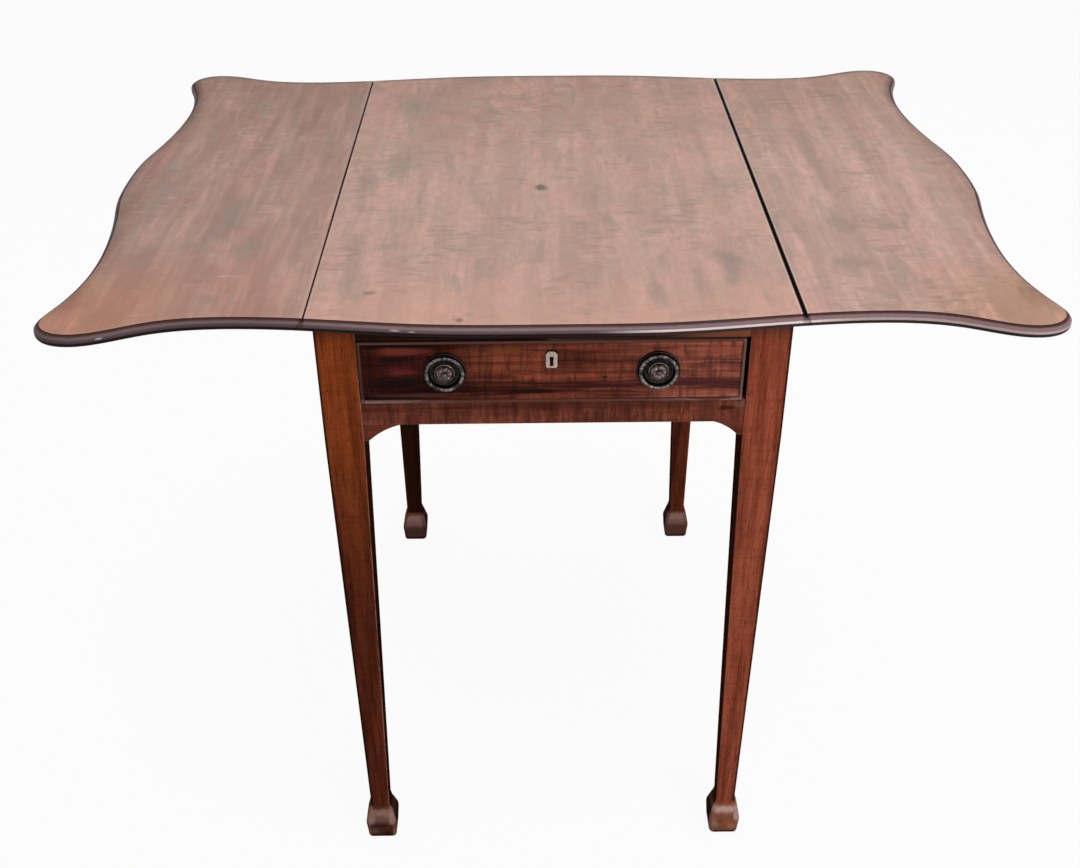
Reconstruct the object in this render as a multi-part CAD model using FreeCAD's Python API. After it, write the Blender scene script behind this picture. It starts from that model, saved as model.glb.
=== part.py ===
import FreeCAD, Part
import math
import os

# Pembroke table: a fixed bed and two drop leaves on rule joints, carried by four tapered legs,
# with one drawer, swinging fly brackets under the leaves and ring handles.
# Millimetres, +Z up, the drawer faces -Y. The origin is on the floor under the middle of the top.

V = FreeCAD.Vector
SIDES = (("left", -1), ("right", 1))
ENDS = (("front", -1), ("rear", 1))

# General
table_height = 720.0
overrun = 20.0              # how far a cutting shape runs past what it cuts
level_error = 0.01          # how far from a level an edge may lie and still be on it
glue_gap = 0.05             # room round a glued tenon or an inlaid piece
moving_gap = 0.4            # room between pieces that turn past each other
pin_gap = 0.05              # radial room of a pin in its bore
screw_gap = 0.05            # radial room of a screw in its hole

# Plan of the top
bed_width = 448.0           # between the two rule joints
half_span = 464.0           # middle of the table to the swell of a leaf's side
half_length = 362.4         # middle of the table to the ears
bow_share = 0.972           # bowed end at the middle, of half_length
plan_shares = (             # outline of one quarter, as shares of half_span and half_length
    (0.0, bow_share),
    (0.242, 0.966),
    (0.486, 0.929),         # at the rule joint
    (0.645, 0.917),         # hollow of the leaf's end
    (0.789, 0.946),
    (0.928, 1.0),           # ear
    (0.966, 0.985),
    (0.996, 0.936),
    (0.984, 0.843),
    (0.952, 0.611),         # hollow of the leaf's side
    (0.978, 0.266),
    (1.0, 0.0),             # swell of the leaf's side
)

# Section of the top
top_thickness = 11.0
edge_step = 1.2             # drop from the flat to the moulding
edge_ledge = 0.7            # level ledge between the step and the ovolo
edge_band = 2.5             # upright band below the ovolo
under_radius = 2.5          # rounding below the band

# Rule joints
rule_fillet = 2.5           # upright part of the joint, at the top
rule_gap_left = 0.9
rule_gap_right = 1.8
rule_gaps = {"left": rule_gap_left, "right": rule_gap_right}

# Leaf hinges
hinge_inset = 68.0          # hinge's middle from the leg's inner face
hinge_width = 46.0
knuckle_radius = 2.4
knuckle_sink = 0.1          # barrel above the underside of the top
hinge_pin_radius = 1.1
middle_knuckle_share = 0.4
flap_thickness = 1.6
bed_flap_reach = 28.0
leaf_flap_reach = 42.0
flap_side_gap = 0.2
hinge_screw_head_radius = 2.6
hinge_screw_head_depth = 1.4
hinge_screw_radius = 1.2
hinge_screw_length = 7.5
bed_screw_shares = ((0.62, -0.3), (0.62, 0.3))
leaf_screw_shares = ((0.5, -0.3), (0.5, 0.3), (0.8, 0.0))

# Frame and legs
leg_inset = 3.5             # legs' outer faces inside the rule joints
end_overhang = 40.9         # bowed end past the legs' faces
leg_square = 38.0
taper_drop = 19.5           # start of the taper below the rails
ankle_square = 21.4
side_taper = 5.0            # of the legs' outer side faces, head to ankle
end_taper = 8.5             # of the legs' front and rear faces
ankle_height = 54.0
foot_neck_square = 29.0
foot_neck_height = 47.0
foot_square = 37.0
foot_swell_height = 21.0
foot_base_square = 32.0
glide_height = 5.0
glide_radius = 10.0
glide_rounding = 2.5

# Rails
top_rail_height = 24.0
opening_height = 67.5       # drawer opening
lower_rail_height = 24.8
rail_setback = 1.0          # rails behind the legs' faces
top_rail_depth = 40.0
lower_rail_depth = 60.0
rear_rail_thickness = 20.0
side_rail_thickness = 16.0
tenon_length = 14.0
tenon_thickness = 9.0
tenon_shoulder = 4.0
spandrel_width_left = 36.0
spandrel_width_right = 28.0
spandrel_height_left = 18.5
spandrel_height_right = 15.5
spandrel_heel = 4.5
spandrel_thickness = 18.0
spandrel_arch_shares = (0.45, 0.7)

# Fly rails and brackets
fly_setback = 2.0           # fly rail behind the legs' outer faces
bracket_pivot_inset = 28.0  # pivot from the leg's inner face
bracket_length = 84.0       # from the pivot
bracket_height = 62.0
bracket_end_gap = 2.0
bracket_corner_radius = 16.0
fingers = 5
fly_pin_radius = 2.5
leaf_rest_gap = 0.5         # bracket under the leaf

# Drawer box
drawer_gap = 1.1            # above the drawer in its opening
drawer_side_gap = 2.2       # beside it, before it leans to the left
drawer_lean = 1.6           # drawer's middle to the left of the table's
slide_gap = 0.3             # under the drawer
drawer_back_gap = 45.0      # behind the drawer
front_thickness = 20.0
drawer_side_thickness = 10.0
drawer_side_drop = 6.0      # side's top edge below the front's
drawer_back_thickness = 12.0
drawer_back_drop = 10.0     # back's top edge below the sides'
bottom_thickness = 6.0
bottom_lift = 9.0           # underside of the bottom above the drawer's base
bottom_groove = 5.0
groove_gap = 0.1
dovetail_lap = 12.0
dovetail_count = 3
tail_share = 0.62           # of the pitch, at the wide end
tail_root_share = 0.42
bead_thickness = 3.0
bead_depth = 6.5
bead_proud = 2.2
bead_nose_flat = 0.4        # left between the two roundings of the bead's nose

# Drawer guides, stops, blocks and the screws that hold the top
runner_width = 20.0
runner_height = 14.0
kicker_width = 18.0
stop_width = 30.0
stop_depth = 12.0
stop_height = 5.0
stop_offset = 90.0          # from the table's middle
stop_gap = 0.3
block_width = 45.0
block_square = 16.0
block_offset = 80.0         # from the table's middle
fixing_screw_radius = 2.0
fixing_screw_head_radius = 4.0
fixing_screw_head_depth = 2.4
fixing_screw_length = 22.0
fixing_screw_bite = 6.5     # length in the top
fixing_screw_shares = (-0.7, 0.0, 0.7)

# Lock and escutcheon
lock_width = 44.0
lock_height = 32.0
lock_depth = 9.0
lock_drop = 5.0             # case below the drawer front's top edge
bolt_width = 15.0
bolt_thickness = 4.8
bolt_length = 24.0
bolt_rest_depth = 1.0       # bolt's end below the drawer front's top edge
bolt_travel = 6.0
bolt_gap = 0.3
bolt_mortise_spare = 2.0
keyhole_drop = 19.9         # eye below the drawer front's top edge
keyhole_radius = 2.1
keyhole_slot_width = 2.4
keyhole_slot_length = 8.0
escutcheon_width = 11.4
escutcheon_height = 18.4
escutcheon_rise = 8.6       # top edge above the keyhole's eye
escutcheon_corner = 3.0
escutcheon_thickness = 2.0
escutcheon_proud = 0.2

# Ring handles
handle_offset = 100.0       # from the drawer's middle
plate_radius = 20.5
plate_thickness = 1.5
plate_rim_width = 1.6
plate_rim_height = 1.0
boss_radius = 9.5
boss_height = 7.5
boss_collar = 1.5
boss_shank_radius = 2.5
boss_shank_spare = 5.0      # shank past the drawer front
ring_radius = 17.0          # to the middle of the ring's stock
ring_stock_radius = 2.1
ring_gap = 0.5              # ring in front of its plate
lug_radius = 4.0
lug_width = 4.0
lug_gap = 0.35
nut_square = 10.0
nut_thickness = 3.0

# Places that the sizes give
bed_half = bed_width / 2
under_z = table_height - top_thickness
hinge_drop = knuckle_radius + knuckle_sink
hinge_z = under_z + hinge_drop
rule_radius = top_thickness - rule_fillet - hinge_drop
ovolo_radius = top_thickness - edge_step - edge_band - under_radius
frame_half_x = bed_half - leg_inset
frame_half_y = half_length * bow_share - end_overhang
leg_in_x = frame_half_x - leg_square
leg_in_y = frame_half_y - leg_square
opening_top = under_z - top_rail_height
opening_base = opening_top - opening_height
frieze_base = opening_base - lower_rail_height
ankle_x = frame_half_x - side_taper - ankle_square / 2
ankle_y = frame_half_y - end_taper - ankle_square / 2
front_y = rail_setback - frame_half_y
rear_inner_y = frame_half_y - rail_setback - rear_rail_thickness
side_rail_out = leg_in_x + side_rail_thickness
fly_out = frame_half_x - fly_setback
fly_thickness = fly_out - side_rail_out
pivot_x = -(side_rail_out + fly_thickness / 2)
pivot_y = bracket_pivot_inset - leg_in_y
bracket_half = fly_thickness / 2 - moving_gap
bracket_root = fly_thickness / 2 + moving_gap
bracket_top = under_z - leaf_rest_gap
bracket_base = bracket_top - bracket_height
drawer_half = leg_in_x - drawer_side_gap
drawer_base = opening_base + slide_gap
drawer_top = opening_top - drawer_gap
drawer_mid_z = (drawer_base + drawer_top) / 2
drawer_side_top = drawer_top - drawer_side_drop
drawer_back_y = rear_inner_y - drawer_back_gap
front_back_y = front_y + front_thickness
bottom_z = drawer_base + bottom_lift
lock_top = drawer_top - lock_drop
bolt_y = front_back_y - lock_depth / 2
bolt_top = drawer_top - bolt_rest_depth
keyhole_z = drawer_top - keyhole_drop
ring_y = front_y - plate_thickness - ring_gap - ring_stock_radius
ring_top_z = drawer_mid_z + ring_radius


# Plain shapes

def box(xs, ys, zs):
    """Block between two planes on each axis, given in either order."""
    x, y, z = (sorted(span) for span in (xs, ys, zs))
    return Part.makeBox(x[1] - x[0], y[1] - y[0], z[1] - z[0], V(x[0], y[0], z[0]))


def rod(start, direction, length, radius):
    """Round bar from start along direction."""
    return Part.makeCylinder(radius, length, start, direction)


def lines(points):
    """Straight edges from each point to the next."""
    return [Part.LineSegment(a, b).toShape() for a, b in zip(points, points[1:])]


def prism(edges, direction):
    """Closed flat outline, given as edges in any order, swept along direction."""
    return Part.Face(Part.Wire(Part.__sortEdges__(edges))).extrude(direction)


def square(centre_x, centre_y, side, height):
    """Square wire, level, about a centre."""
    half = side / 2
    corners = ((-half, -half), (half, -half), (half, half), (-half, half), (-half, -half))
    return Part.makePolygon([V(centre_x + x, centre_y + y, height) for x, y in corners])


def mirrored(shape, across_x, across_y):
    """Copy of a shape of the +X +Y quarter, in the quarter that the two signs name."""
    origin = V(0, 0, 0)
    if across_x < 0:
        shape = shape.mirror(origin, V(1, 0, 0))
    if across_y < 0:
        shape = shape.mirror(origin, V(0, 1, 0))
    return shape


def half_turn(shape):
    """Copy of a shape, turned half round the table's middle."""
    turned = shape.copy()
    turned.rotate(V(0, 0, 0), V(0, 0, 1), 180)
    return turned


def merge(shapes):
    """One solid out of several that meet."""
    return shapes[0].multiFuse(shapes[1:]).removeSplitter()


def level_edges(shape, height):
    """Edges of a shape that lie level at a height."""
    spans = [(edge, edge.BoundBox.ZMin, edge.BoundBox.ZMax) for edge in shape.Edges]
    return [edge for edge, low, high in spans if max(abs(low - height), abs(high - height)) < level_error]


def wood_screw(place, head_radius, head_depth, shank_radius, length, room=0.0):
    """Countersunk screw driven upwards, its head's flat face at place."""
    head = Part.makeCone(head_radius + room, shank_radius + room, head_depth, place)
    shank = rod(place, V(0, 0, 1), length + room, shank_radius + room)
    return merge([head, shank])


# Top and leaves

def outline_curve(points):
    """Smooth curve through one quarter's points, square to the table's two middle lines."""
    across, along = math.copysign(1, points[-1].x), math.copysign(1, points[0].y)
    curve = Part.BSplineCurve()
    curve.interpolate(Points=points, InitialTangent=V(across, 0, 0), FinalTangent=V(0, -along, 0))
    return curve


def outline_points(inset):
    """Points of the +X +Y quarter's outline, drawn in square to it by inset."""
    points = [V(half_span * across, half_length * along, 0) for across, along in plan_shares]
    curve = outline_curve(points)
    ways = [curve.tangent(curve.parameter(point))[0] for point in points]
    return [point + V(way.y, -way.x, 0) * inset for point, way in zip(points, ways)]


def outline_slab(inset, base, height):
    """Slab of the plan, its outline drawn in by inset."""
    points = outline_points(inset)
    quarters = []
    for name, across in SIDES:
        for end_name, along in ENDS:
            quarters.append(outline_curve([V(across * p.x, along * p.y, base) for p in points]).toShape())
    return prism(quarters, V(0, 0, height))


def moulded_top():
    """The whole top in one piece, with its moulded edge."""
    ledge_z = table_height - edge_step
    slab = outline_slab(0, under_z, ledge_z - under_z)
    slab = slab.makeFillet(ovolo_radius, level_edges(slab, ledge_z))
    slab = slab.makeFillet(under_radius, level_edges(slab, under_z))
    flat_base = under_z + under_radius
    flat = outline_slab(ovolo_radius + edge_ledge, flat_base, table_height - flat_base)
    return slab.fuse(flat)


def rule_arc(radius, side, start_out=0.0):
    """Arc of a rule joint about its hinge line, with its upper and lower end."""
    first = math.acos(start_out / radius)
    last = -math.asin(hinge_drop / radius)
    points = []
    for turn in (first, (first + last) / 2, last):
        out = bed_half + radius * math.cos(turn)
        points.append(V(side * out, 0, hinge_z + radius * math.sin(turn)))
    return Part.Arc(*points).toShape(), points[0], points[-1]


def swept_section(edges):
    """Section across the table, swept past both ends of the top."""
    length = 2 * (half_length + overrun)
    body = prism(edges, V(0, length, 0))
    body.translate(V(0, -length / 2, 0))
    return body


def bed_section():
    """Everything between the two rule joints, with their convex edges."""
    above, below = table_height + overrun, under_z - overrun
    right, right_top, right_low = rule_arc(rule_radius, 1)
    left, left_top, left_low = rule_arc(rule_radius, -1)
    under = lines([right_low, V(right_low.x, 0, below), V(left_low.x, 0, below), left_low])
    over = lines([left_top, V(left_top.x, 0, above), V(right_top.x, 0, above), right_top])
    return swept_section([right, left] + under + over)


def leaf_section(name, side):
    """Everything outside one rule joint, with its hollow edge."""
    above, below = table_height + overrun, under_z - overrun
    far = side * (half_span + overrun)
    cove, top, low = rule_arc(rule_radius + moving_gap, side, rule_gaps[name])
    corners = [V(low.x, 0, below), V(far, 0, below), V(far, 0, above), V(top.x, 0, above)]
    return swept_section([cove] + lines([low] + corners + [top]))


# Leaf hinges, drawn on the right about the middle of the table, then moved

def hinge_screws(reach, shares, way, room=0.0):
    """The screws of one flap, which reaches from the hinge line by way."""
    sizes = (hinge_screw_head_radius, hinge_screw_head_depth, hinge_screw_radius, hinge_screw_length)
    places = [V(bed_half + way * reach * out, hinge_width * along, under_z) for out, along in shares]
    return [wood_screw(place, *sizes, room) for place in places]


def barrel(length, radius):
    """Round bar along the hinge line, about the hinge's middle."""
    return rod(V(bed_half, -length / 2, hinge_z), V(0, 1, 0), length, radius)


def barrel_room(ys):
    """Room round the barrel and below it, between two places along the hinge line."""
    clear = knuckle_radius + moving_gap
    return box((bed_half - clear, bed_half + clear), ys, (under_z - overrun, hinge_z + clear))


def hinge_flap(reach, shares, way, outer_knuckles):
    """One flap with its knuckles: the two outer ones, or the middle one."""
    half = hinge_width / 2
    middle = half * middle_knuckle_share
    plate = box((bed_half, bed_half + way * reach), (-half, half), (under_z, under_z + flap_thickness))
    if outer_knuckles:
        missing = [barrel_room((-middle - moving_gap, middle + moving_gap))]
    else:
        missing = [barrel_room((way_y * middle, way_y * (half + overrun))) for way_y in (-1, 1)]
    flap = merge([plate, barrel(hinge_width, knuckle_radius)]).cut(missing)
    bore = barrel(hinge_width + overrun, hinge_pin_radius + pin_gap)
    return flap.cut([bore] + hinge_screws(reach, shares, way, screw_gap))


def bed_hinge_pocket():
    """Room in the bed for the fixed flap, the barrel and the crossing leaf flap."""
    half = hinge_width / 2 + flap_side_gap
    base, flap_top = under_z - overrun, under_z + flap_thickness
    inner, outer = bed_half - bed_flap_reach - flap_side_gap, bed_half + rule_radius + overrun
    fixed = box((inner, bed_half), (-half, half), (base, flap_top))
    crossing = box((bed_half, outer), (-half, half), (base, flap_top + moving_gap))
    round_room = barrel(2 * half, knuckle_radius + moving_gap)
    low_room = barrel_room((-half, half)).cut(box((inner, outer), (-half, half), (hinge_z, table_height)))
    return merge([fixed, round_room, low_room, crossing])


def leaf_hinge_pocket():
    """Room in the leaf's underside for its flap."""
    half = hinge_width / 2 + flap_side_gap
    return box((bed_half, bed_half + leaf_flap_reach + flap_side_gap), (-half, half),
               (under_z - overrun, under_z + flap_thickness))


def placed_hinge(shape, side, end):
    """A shape of the hinge, moved to one of the four hinges."""
    moved = shape.copy()
    moved.translate(V(0, leg_in_y - hinge_inset, 0))
    return mirrored(moved, side, end)


def top_nodes():
    """The bed, the leaves and their hinges."""
    nodes = {}
    whole = moulded_top()
    bed = whole.common(bed_section())
    bed_cuts = [bed_hinge_pocket()] + hinge_screws(bed_flap_reach, bed_screw_shares, -1, screw_gap)
    leaf_cuts = [leaf_hinge_pocket()] + hinge_screws(leaf_flap_reach, leaf_screw_shares, 1, screw_gap)
    bed_flap = hinge_flap(bed_flap_reach, bed_screw_shares, -1, True)
    leaf_flap = hinge_flap(leaf_flap_reach, leaf_screw_shares, 1, False)
    bed_screws = Part.makeCompound(hinge_screws(bed_flap_reach, bed_screw_shares, -1))
    leaf_screws = Part.makeCompound(hinge_screws(leaf_flap_reach, leaf_screw_shares, 1))
    pin = barrel(hinge_width, hinge_pin_radius)
    pins, fixed_screws = [], []
    for name, side in SIDES:
        leaf = whole.common(leaf_section(name, side))
        swinging_screws = []
        for end_name, end in ENDS:
            bed = bed.cut([placed_hinge(cut, side, end) for cut in bed_cuts])
            leaf = leaf.cut([placed_hinge(cut, side, end) for cut in leaf_cuts])
            nodes["hinge_bed_flap_%s_%s" % (name, end_name)] = placed_hinge(bed_flap, side, end)
            nodes["hinge_leaf_flap_%s_%s" % (name, end_name)] = placed_hinge(leaf_flap, side, end)
            pins.append(placed_hinge(pin, side, end))
            fixed_screws += placed_hinge(bed_screws, side, end).Solids
            swinging_screws += placed_hinge(leaf_screws, side, end).Solids
        nodes["leaf_" + name] = leaf
        nodes["hinge_screws_leaf_" + name] = Part.makeCompound(swinging_screws)
    nodes["top_board"] = bed.cut(fixing_screws(screw_gap))
    nodes["hinge_pins"] = Part.makeCompound(pins)
    nodes["hinge_screws_bed"] = Part.makeCompound(fixed_screws)
    return nodes


# Frame

def tenon(x_face, y_face, way_x, way_y, zs, room=0.0):
    """Tenon that stands out of a rail's end at a face, along X or along Y."""
    heights = (zs[0] + tenon_shoulder - room, zs[1] - tenon_shoulder + room)
    half = tenon_thickness / 2 + room
    reach = tenon_length + room
    if way_x:
        return box((x_face, x_face + way_x * reach), (y_face - half, y_face + half), heights)
    return box((x_face - half, x_face + half), (y_face, y_face + way_y * reach), heights)


def cross_rail(ys, zs, tenon_y):
    """Rail across the table between two legs, with its tenons, and their mortises."""
    rail = box((-leg_in_x, leg_in_x), ys, zs)
    tenons = [tenon(side * leg_in_x, tenon_y, side, 0, zs) for name, side in SIDES]
    mortises = [tenon(side * leg_in_x, tenon_y, side, 0, zs, glue_gap) for name, side in SIDES]
    return merge([rail] + tenons), mortises


def side_rail(side):
    """Long rail between a front and a rear leg, with its tenons, and their mortises."""
    zs = (frieze_base, under_z)
    rail = box((side * leg_in_x, side * side_rail_out), (-leg_in_y, leg_in_y), zs)
    middle = side * (leg_in_x + side_rail_out) / 2
    tenons = [tenon(middle, end * leg_in_y, 0, end, zs) for name, end in ENDS]
    mortises = [tenon(middle, end * leg_in_y, 0, end, zs, glue_gap) for name, end in ENDS]
    return merge([rail] + tenons), mortises


def plain_leg():
    """Leg of the +X +Y corner: square head, tapered most on its inner faces, with a spade foot."""
    head_x, head_y = frame_half_x - leg_square / 2, frame_half_y - leg_square / 2
    sections = [
        (head_x, head_y, leg_square, under_z),
        (head_x, head_y, leg_square, frieze_base - taper_drop),
        (ankle_x, ankle_y, ankle_square, ankle_height),
        (ankle_x, ankle_y, foot_neck_square, foot_neck_height),
        (ankle_x, ankle_y, foot_square, foot_swell_height),
        (ankle_x, ankle_y, foot_base_square, glide_height),
    ]
    return Part.makeLoft([square(*section) for section in sections], True, True)


def foot_glide():
    """Low metal glide under the +X +Y foot."""
    disc = rod(V(ankle_x, ankle_y, 0), V(0, 0, 1), glide_height, glide_radius)
    return disc.makeFillet(glide_rounding, level_edges(disc, 0))


def spandrel(width, height):
    """Arched corner piece under a rail, at the +X +Y leg."""
    outer = frame_half_y - rail_setback
    head = V(leg_in_x - width, outer, frieze_base)
    foot = V(leg_in_x - spandrel_heel, outer, frieze_base - height)
    across_share, up_share = spandrel_arch_shares
    arch = V(head.x + (foot.x - head.x) * across_share, outer, foot.z + (head.z - foot.z) * up_share)
    heel = V(leg_in_x, outer, foot.z)
    corner = V(leg_in_x, outer, frieze_base)
    edges = [Part.Arc(head, arch, foot).toShape()] + lines([foot, heel, corner, head])
    return prism(edges, V(0, -spandrel_thickness, 0))


def frame_nodes():
    """Legs, rails, corner pieces and glides."""
    nodes, mortises, glides = {}, [], []
    tenon_y = frame_half_y - rail_setback - tenon_shoulder - tenon_thickness / 2
    rails = (
        ("front_top_rail", (front_y, front_y + top_rail_depth), (opening_top, under_z), -tenon_y),
        ("front_lower_rail", (front_y, front_y + lower_rail_depth), (frieze_base, opening_base), -tenon_y),
        ("rear_rail", (rear_inner_y, rear_inner_y + rear_rail_thickness), (frieze_base, under_z), tenon_y),
    )
    for name, ys, zs, place_y in rails:
        nodes[name], cuts = cross_rail(ys, zs, place_y)
        mortises += cuts
    nodes["front_top_rail"] = nodes["front_top_rail"].cut(bolt_mortise())
    for name, side in SIDES:
        nodes["side_rail_" + name], cuts = side_rail(side)
        mortises += cuts
    corner_sizes = {"left": (spandrel_width_left, spandrel_height_left),
                    "right": (spandrel_width_right, spandrel_height_right)}
    for name, side in SIDES:
        corner = spandrel(*corner_sizes[name])
        for end_name, end in ENDS:
            nodes["leg_%s_%s" % (end_name, name)] = mirrored(plain_leg(), side, end).cut(mortises)
            nodes["spandrel_%s_%s" % (end_name, name)] = mirrored(corner, side, end)
            glides.append(mirrored(foot_glide(), side, end))
    nodes["foot_glides"] = Part.makeCompound(glides)
    return nodes


# Fly rails and brackets, drawn on the left and turned for the right

def finger_levels():
    """Lower and upper level of each finger of the wooden knuckle, from the base."""
    pitch = bracket_height / fingers
    return [(bracket_base + pitch * i, bracket_base + pitch * (i + 1)) for i in range(fingers)]


def finger(low, high, way, half):
    """Round-ended finger about the pivot, running along Y from it."""
    tongue = box((pivot_x - half, pivot_x + half), (pivot_y, pivot_y + way * bracket_root), (low, high))
    nose = rod(V(pivot_x, pivot_y, low), V(0, 0, 1), high - low, half)
    return merge([tongue, nose])


def fly_bore(radius):
    """Bore for the pin, through every finger and down into the rail."""
    start = V(pivot_x, pivot_y, bracket_base - fly_thickness)
    return rod(start, V(0, 0, 1), bracket_height + fly_thickness, radius)


def fly_rail():
    """Outer rail, cut away at the top for the bracket, with the fixed fingers of the knuckle."""
    rail = box((-side_rail_out, -fly_out), (-leg_in_y, leg_in_y), (frieze_base, under_z))
    recess_ys = (pivot_y - bracket_root, pivot_y + bracket_length + bracket_end_gap)
    recess_base = bracket_base - moving_gap
    recess = box((pivot_x - overrun, pivot_x + overrun), recess_ys, (recess_base, under_z + overrun))
    lowest, *others = finger_levels()[::2]
    cheeks = [finger(recess_base, lowest[1], -1, fly_thickness / 2)]
    cheeks += [finger(low, high, -1, fly_thickness / 2) for low, high in others]
    return merge([rail.cut(recess)] + cheeks).cut(fly_bore(fly_pin_radius + pin_gap))


def fly_bracket():
    """Swinging bracket, folded along the rail, with its own fingers and a rounded lower end."""
    body = box((pivot_x - bracket_half, pivot_x + bracket_half),
               (pivot_y + bracket_root, pivot_y + bracket_length), (bracket_base, bracket_top))
    end_edges = [edge for edge in level_edges(body, bracket_base)
                 if edge.BoundBox.YMin > pivot_y + bracket_length - level_error]
    body = body.makeFillet(bracket_corner_radius, end_edges)
    tongues = [finger(low + moving_gap, high - moving_gap, 1, bracket_half)
               for low, high in finger_levels()[1::2]]
    return merge([body] + tongues).cut(fly_bore(fly_pin_radius + pin_gap))


def fly_nodes():
    """Fly rails, brackets and pins, the right-hand ones turned half round."""
    left = {"fly_rail_": fly_rail(), "fly_bracket_": fly_bracket(), "fly_pin_": fly_bore(fly_pin_radius)}
    nodes = {stem + "left": shape for stem, shape in left.items()}
    nodes.update({stem + "right": half_turn(shape) for stem, shape in left.items()})
    return nodes


# Drawer guides, stops, blocks and the screws that hold the top

def fixing_screws(room=0.0):
    """Screws up through the kickers into the bed."""
    head_z = under_z + fixing_screw_bite - fixing_screw_length
    sizes = (fixing_screw_head_radius, fixing_screw_head_depth, fixing_screw_radius, fixing_screw_length)
    screws = []
    for name, side in SIDES:
        for share in fixing_screw_shares:
            place = V(side * (leg_in_x - kicker_width / 2), leg_in_y * share, head_z)
            screws.append(wood_screw(place, *sizes, room))
    return screws


def kicker(side):
    """Batten above a drawer side, counterbored for the screws that hold the top."""
    batten = box((side * leg_in_x, side * (leg_in_x - kicker_width)),
                 (front_y + top_rail_depth, rear_inner_y), (opening_top, under_z))
    holes = fixing_screws(screw_gap)
    for hole in fixing_screws(screw_gap):
        head = hole.BoundBox
        start = V(head.Center.x, head.Center.y, opening_top - overrun)
        holes.append(rod(start, V(0, 0, 1), head.ZMin - start.z, fixing_screw_head_radius + screw_gap))
    return batten.cut(holes)


def guide_nodes():
    """Runners, kickers, stops, glue blocks and the screws that hold the top."""
    nodes, stops, blocks = {}, [], []
    runner_ys = (front_y + lower_rail_depth, rear_inner_y)
    runner_zs = (opening_base - runner_height, opening_base)
    stop_y = front_back_y + stop_gap
    for name, side in SIDES:
        nodes["drawer_runner_" + name] = box((side * leg_in_x, side * (leg_in_x - runner_width)),
                                             runner_ys, runner_zs)
        nodes["drawer_kicker_" + name] = kicker(side)
        stop_xs = (side * stop_offset - stop_width / 2, side * stop_offset + stop_width / 2)
        stops.append(box(stop_xs, (stop_y, stop_y + stop_depth), (opening_base, opening_base + stop_height)))
        block_xs = (side * block_offset - block_width / 2, side * block_offset + block_width / 2)
        blocks.append(box(block_xs, (rear_inner_y - block_square, rear_inner_y),
                          (under_z - block_square, under_z)))
    nodes["drawer_stops"] = Part.makeCompound(stops)
    nodes["glue_blocks"] = Part.makeCompound(blocks)
    nodes["top_fixing_screws"] = Part.makeCompound(fixing_screws())
    return nodes


# Drawer, drawn at the table's middle and moved by its lean

def tails(side):
    """Dovetails of one drawer side, wider at the end that is let into the front."""
    pitch = (drawer_side_top - drawer_base) / dovetail_count
    wide, narrow = pitch * tail_share / 2, pitch * tail_root_share / 2
    root_y, end_y = front_back_y, front_back_y - dovetail_lap
    solids = []
    for number in range(dovetail_count):
        middle = drawer_base + pitch * (2 * number + 1) / 2
        ends = ((root_y, middle - narrow), (end_y, middle - wide), (end_y, middle + wide),
                (root_y, middle + narrow), (root_y, middle - narrow))
        corners = [V(side * drawer_half, y, z) for y, z in ends]
        solids.append(prism(lines(corners), V(-side * drawer_side_thickness, 0, 0)))
    return solids


def drawer_bottom_panel(room=0.0):
    """Bottom board, or the room that its grooves leave for it."""
    half = drawer_half - drawer_side_thickness + bottom_groove + room
    return box((-half, half), (front_back_y - bottom_groove - room, drawer_back_y),
               (bottom_z - room, bottom_z + bottom_thickness + room))


def keyhole(inner_y):
    """Round eye with a slot below it, from before the drawer front to a depth."""
    start = V(0, front_y - overrun, keyhole_z)
    eye = rod(start, V(0, 1, 0), inner_y - start.y, keyhole_radius)
    slot = box((-keyhole_slot_width / 2, keyhole_slot_width / 2), (start.y, inner_y),
               (keyhole_z - keyhole_slot_length, keyhole_z))
    return merge([eye, slot])


def escutcheon_blank(room=0.0):
    """Inlaid plate with its two upper corners cut off."""
    half = escutcheon_width / 2 + room
    top = keyhole_z + escutcheon_rise + room
    base = keyhole_z + escutcheon_rise - escutcheon_height - room
    shoulder_x, shoulder_z = half - escutcheon_corner, top - escutcheon_corner
    outline = ((-half, base), (half, base), (half, shoulder_z), (shoulder_x, top),
               (-shoulder_x, top), (-half, shoulder_z), (-half, base))
    points = [V(x, front_y - escutcheon_proud, z) for x, z in outline]
    return prism(lines(points), V(0, escutcheon_thickness + escutcheon_proud, 0))


def lock_case_block(room=0.0):
    """Outer block of the lock, let into the back of the drawer front."""
    half = lock_width / 2 + room
    return box((-half, half), (front_back_y - lock_depth - room, front_back_y),
               (lock_top - lock_height - room, lock_top + room))


def bolt_block(low, high, room=0.0):
    """The bolt, or the way that it slides in, between two levels."""
    half, thick = bolt_width / 2 + room, bolt_thickness / 2 + room
    return box((-half, half), (bolt_y - thick, bolt_y + thick), (low, high))


def bolt_way():
    """Way for the bolt, from the inside of the lock to above the drawer front."""
    return bolt_block(bolt_top - bolt_length - bolt_gap, drawer_top + overrun, bolt_gap)


def bolt_mortise():
    """Mortise in the top rail that takes the bolt."""
    hole = bolt_block(opening_top - overrun, opening_top + bolt_travel + bolt_mortise_spare, bolt_gap)
    return hole.translated(V(-drawer_lean, 0, 0))


def handle_hole(side):
    """Hole through the drawer front for one handle's shank."""
    start = V(side * handle_offset, front_y - overrun, drawer_mid_z)
    return rod(start, V(0, 1, 0), front_thickness + 2 * overrun, boss_shank_radius + screw_gap)


def bead_rebate():
    """Step round the drawer front that the cock bead is let into."""
    inner_x = drawer_half - bead_thickness
    outer = box((-drawer_half, drawer_half), (front_y - overrun, front_y + bead_depth),
                (drawer_base, drawer_top))
    inner = box((-inner_x, inner_x), (front_y - overrun, front_y + bead_depth),
                (drawer_base + bead_thickness, drawer_top - bead_thickness))
    return outer.cut(inner)


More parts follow.
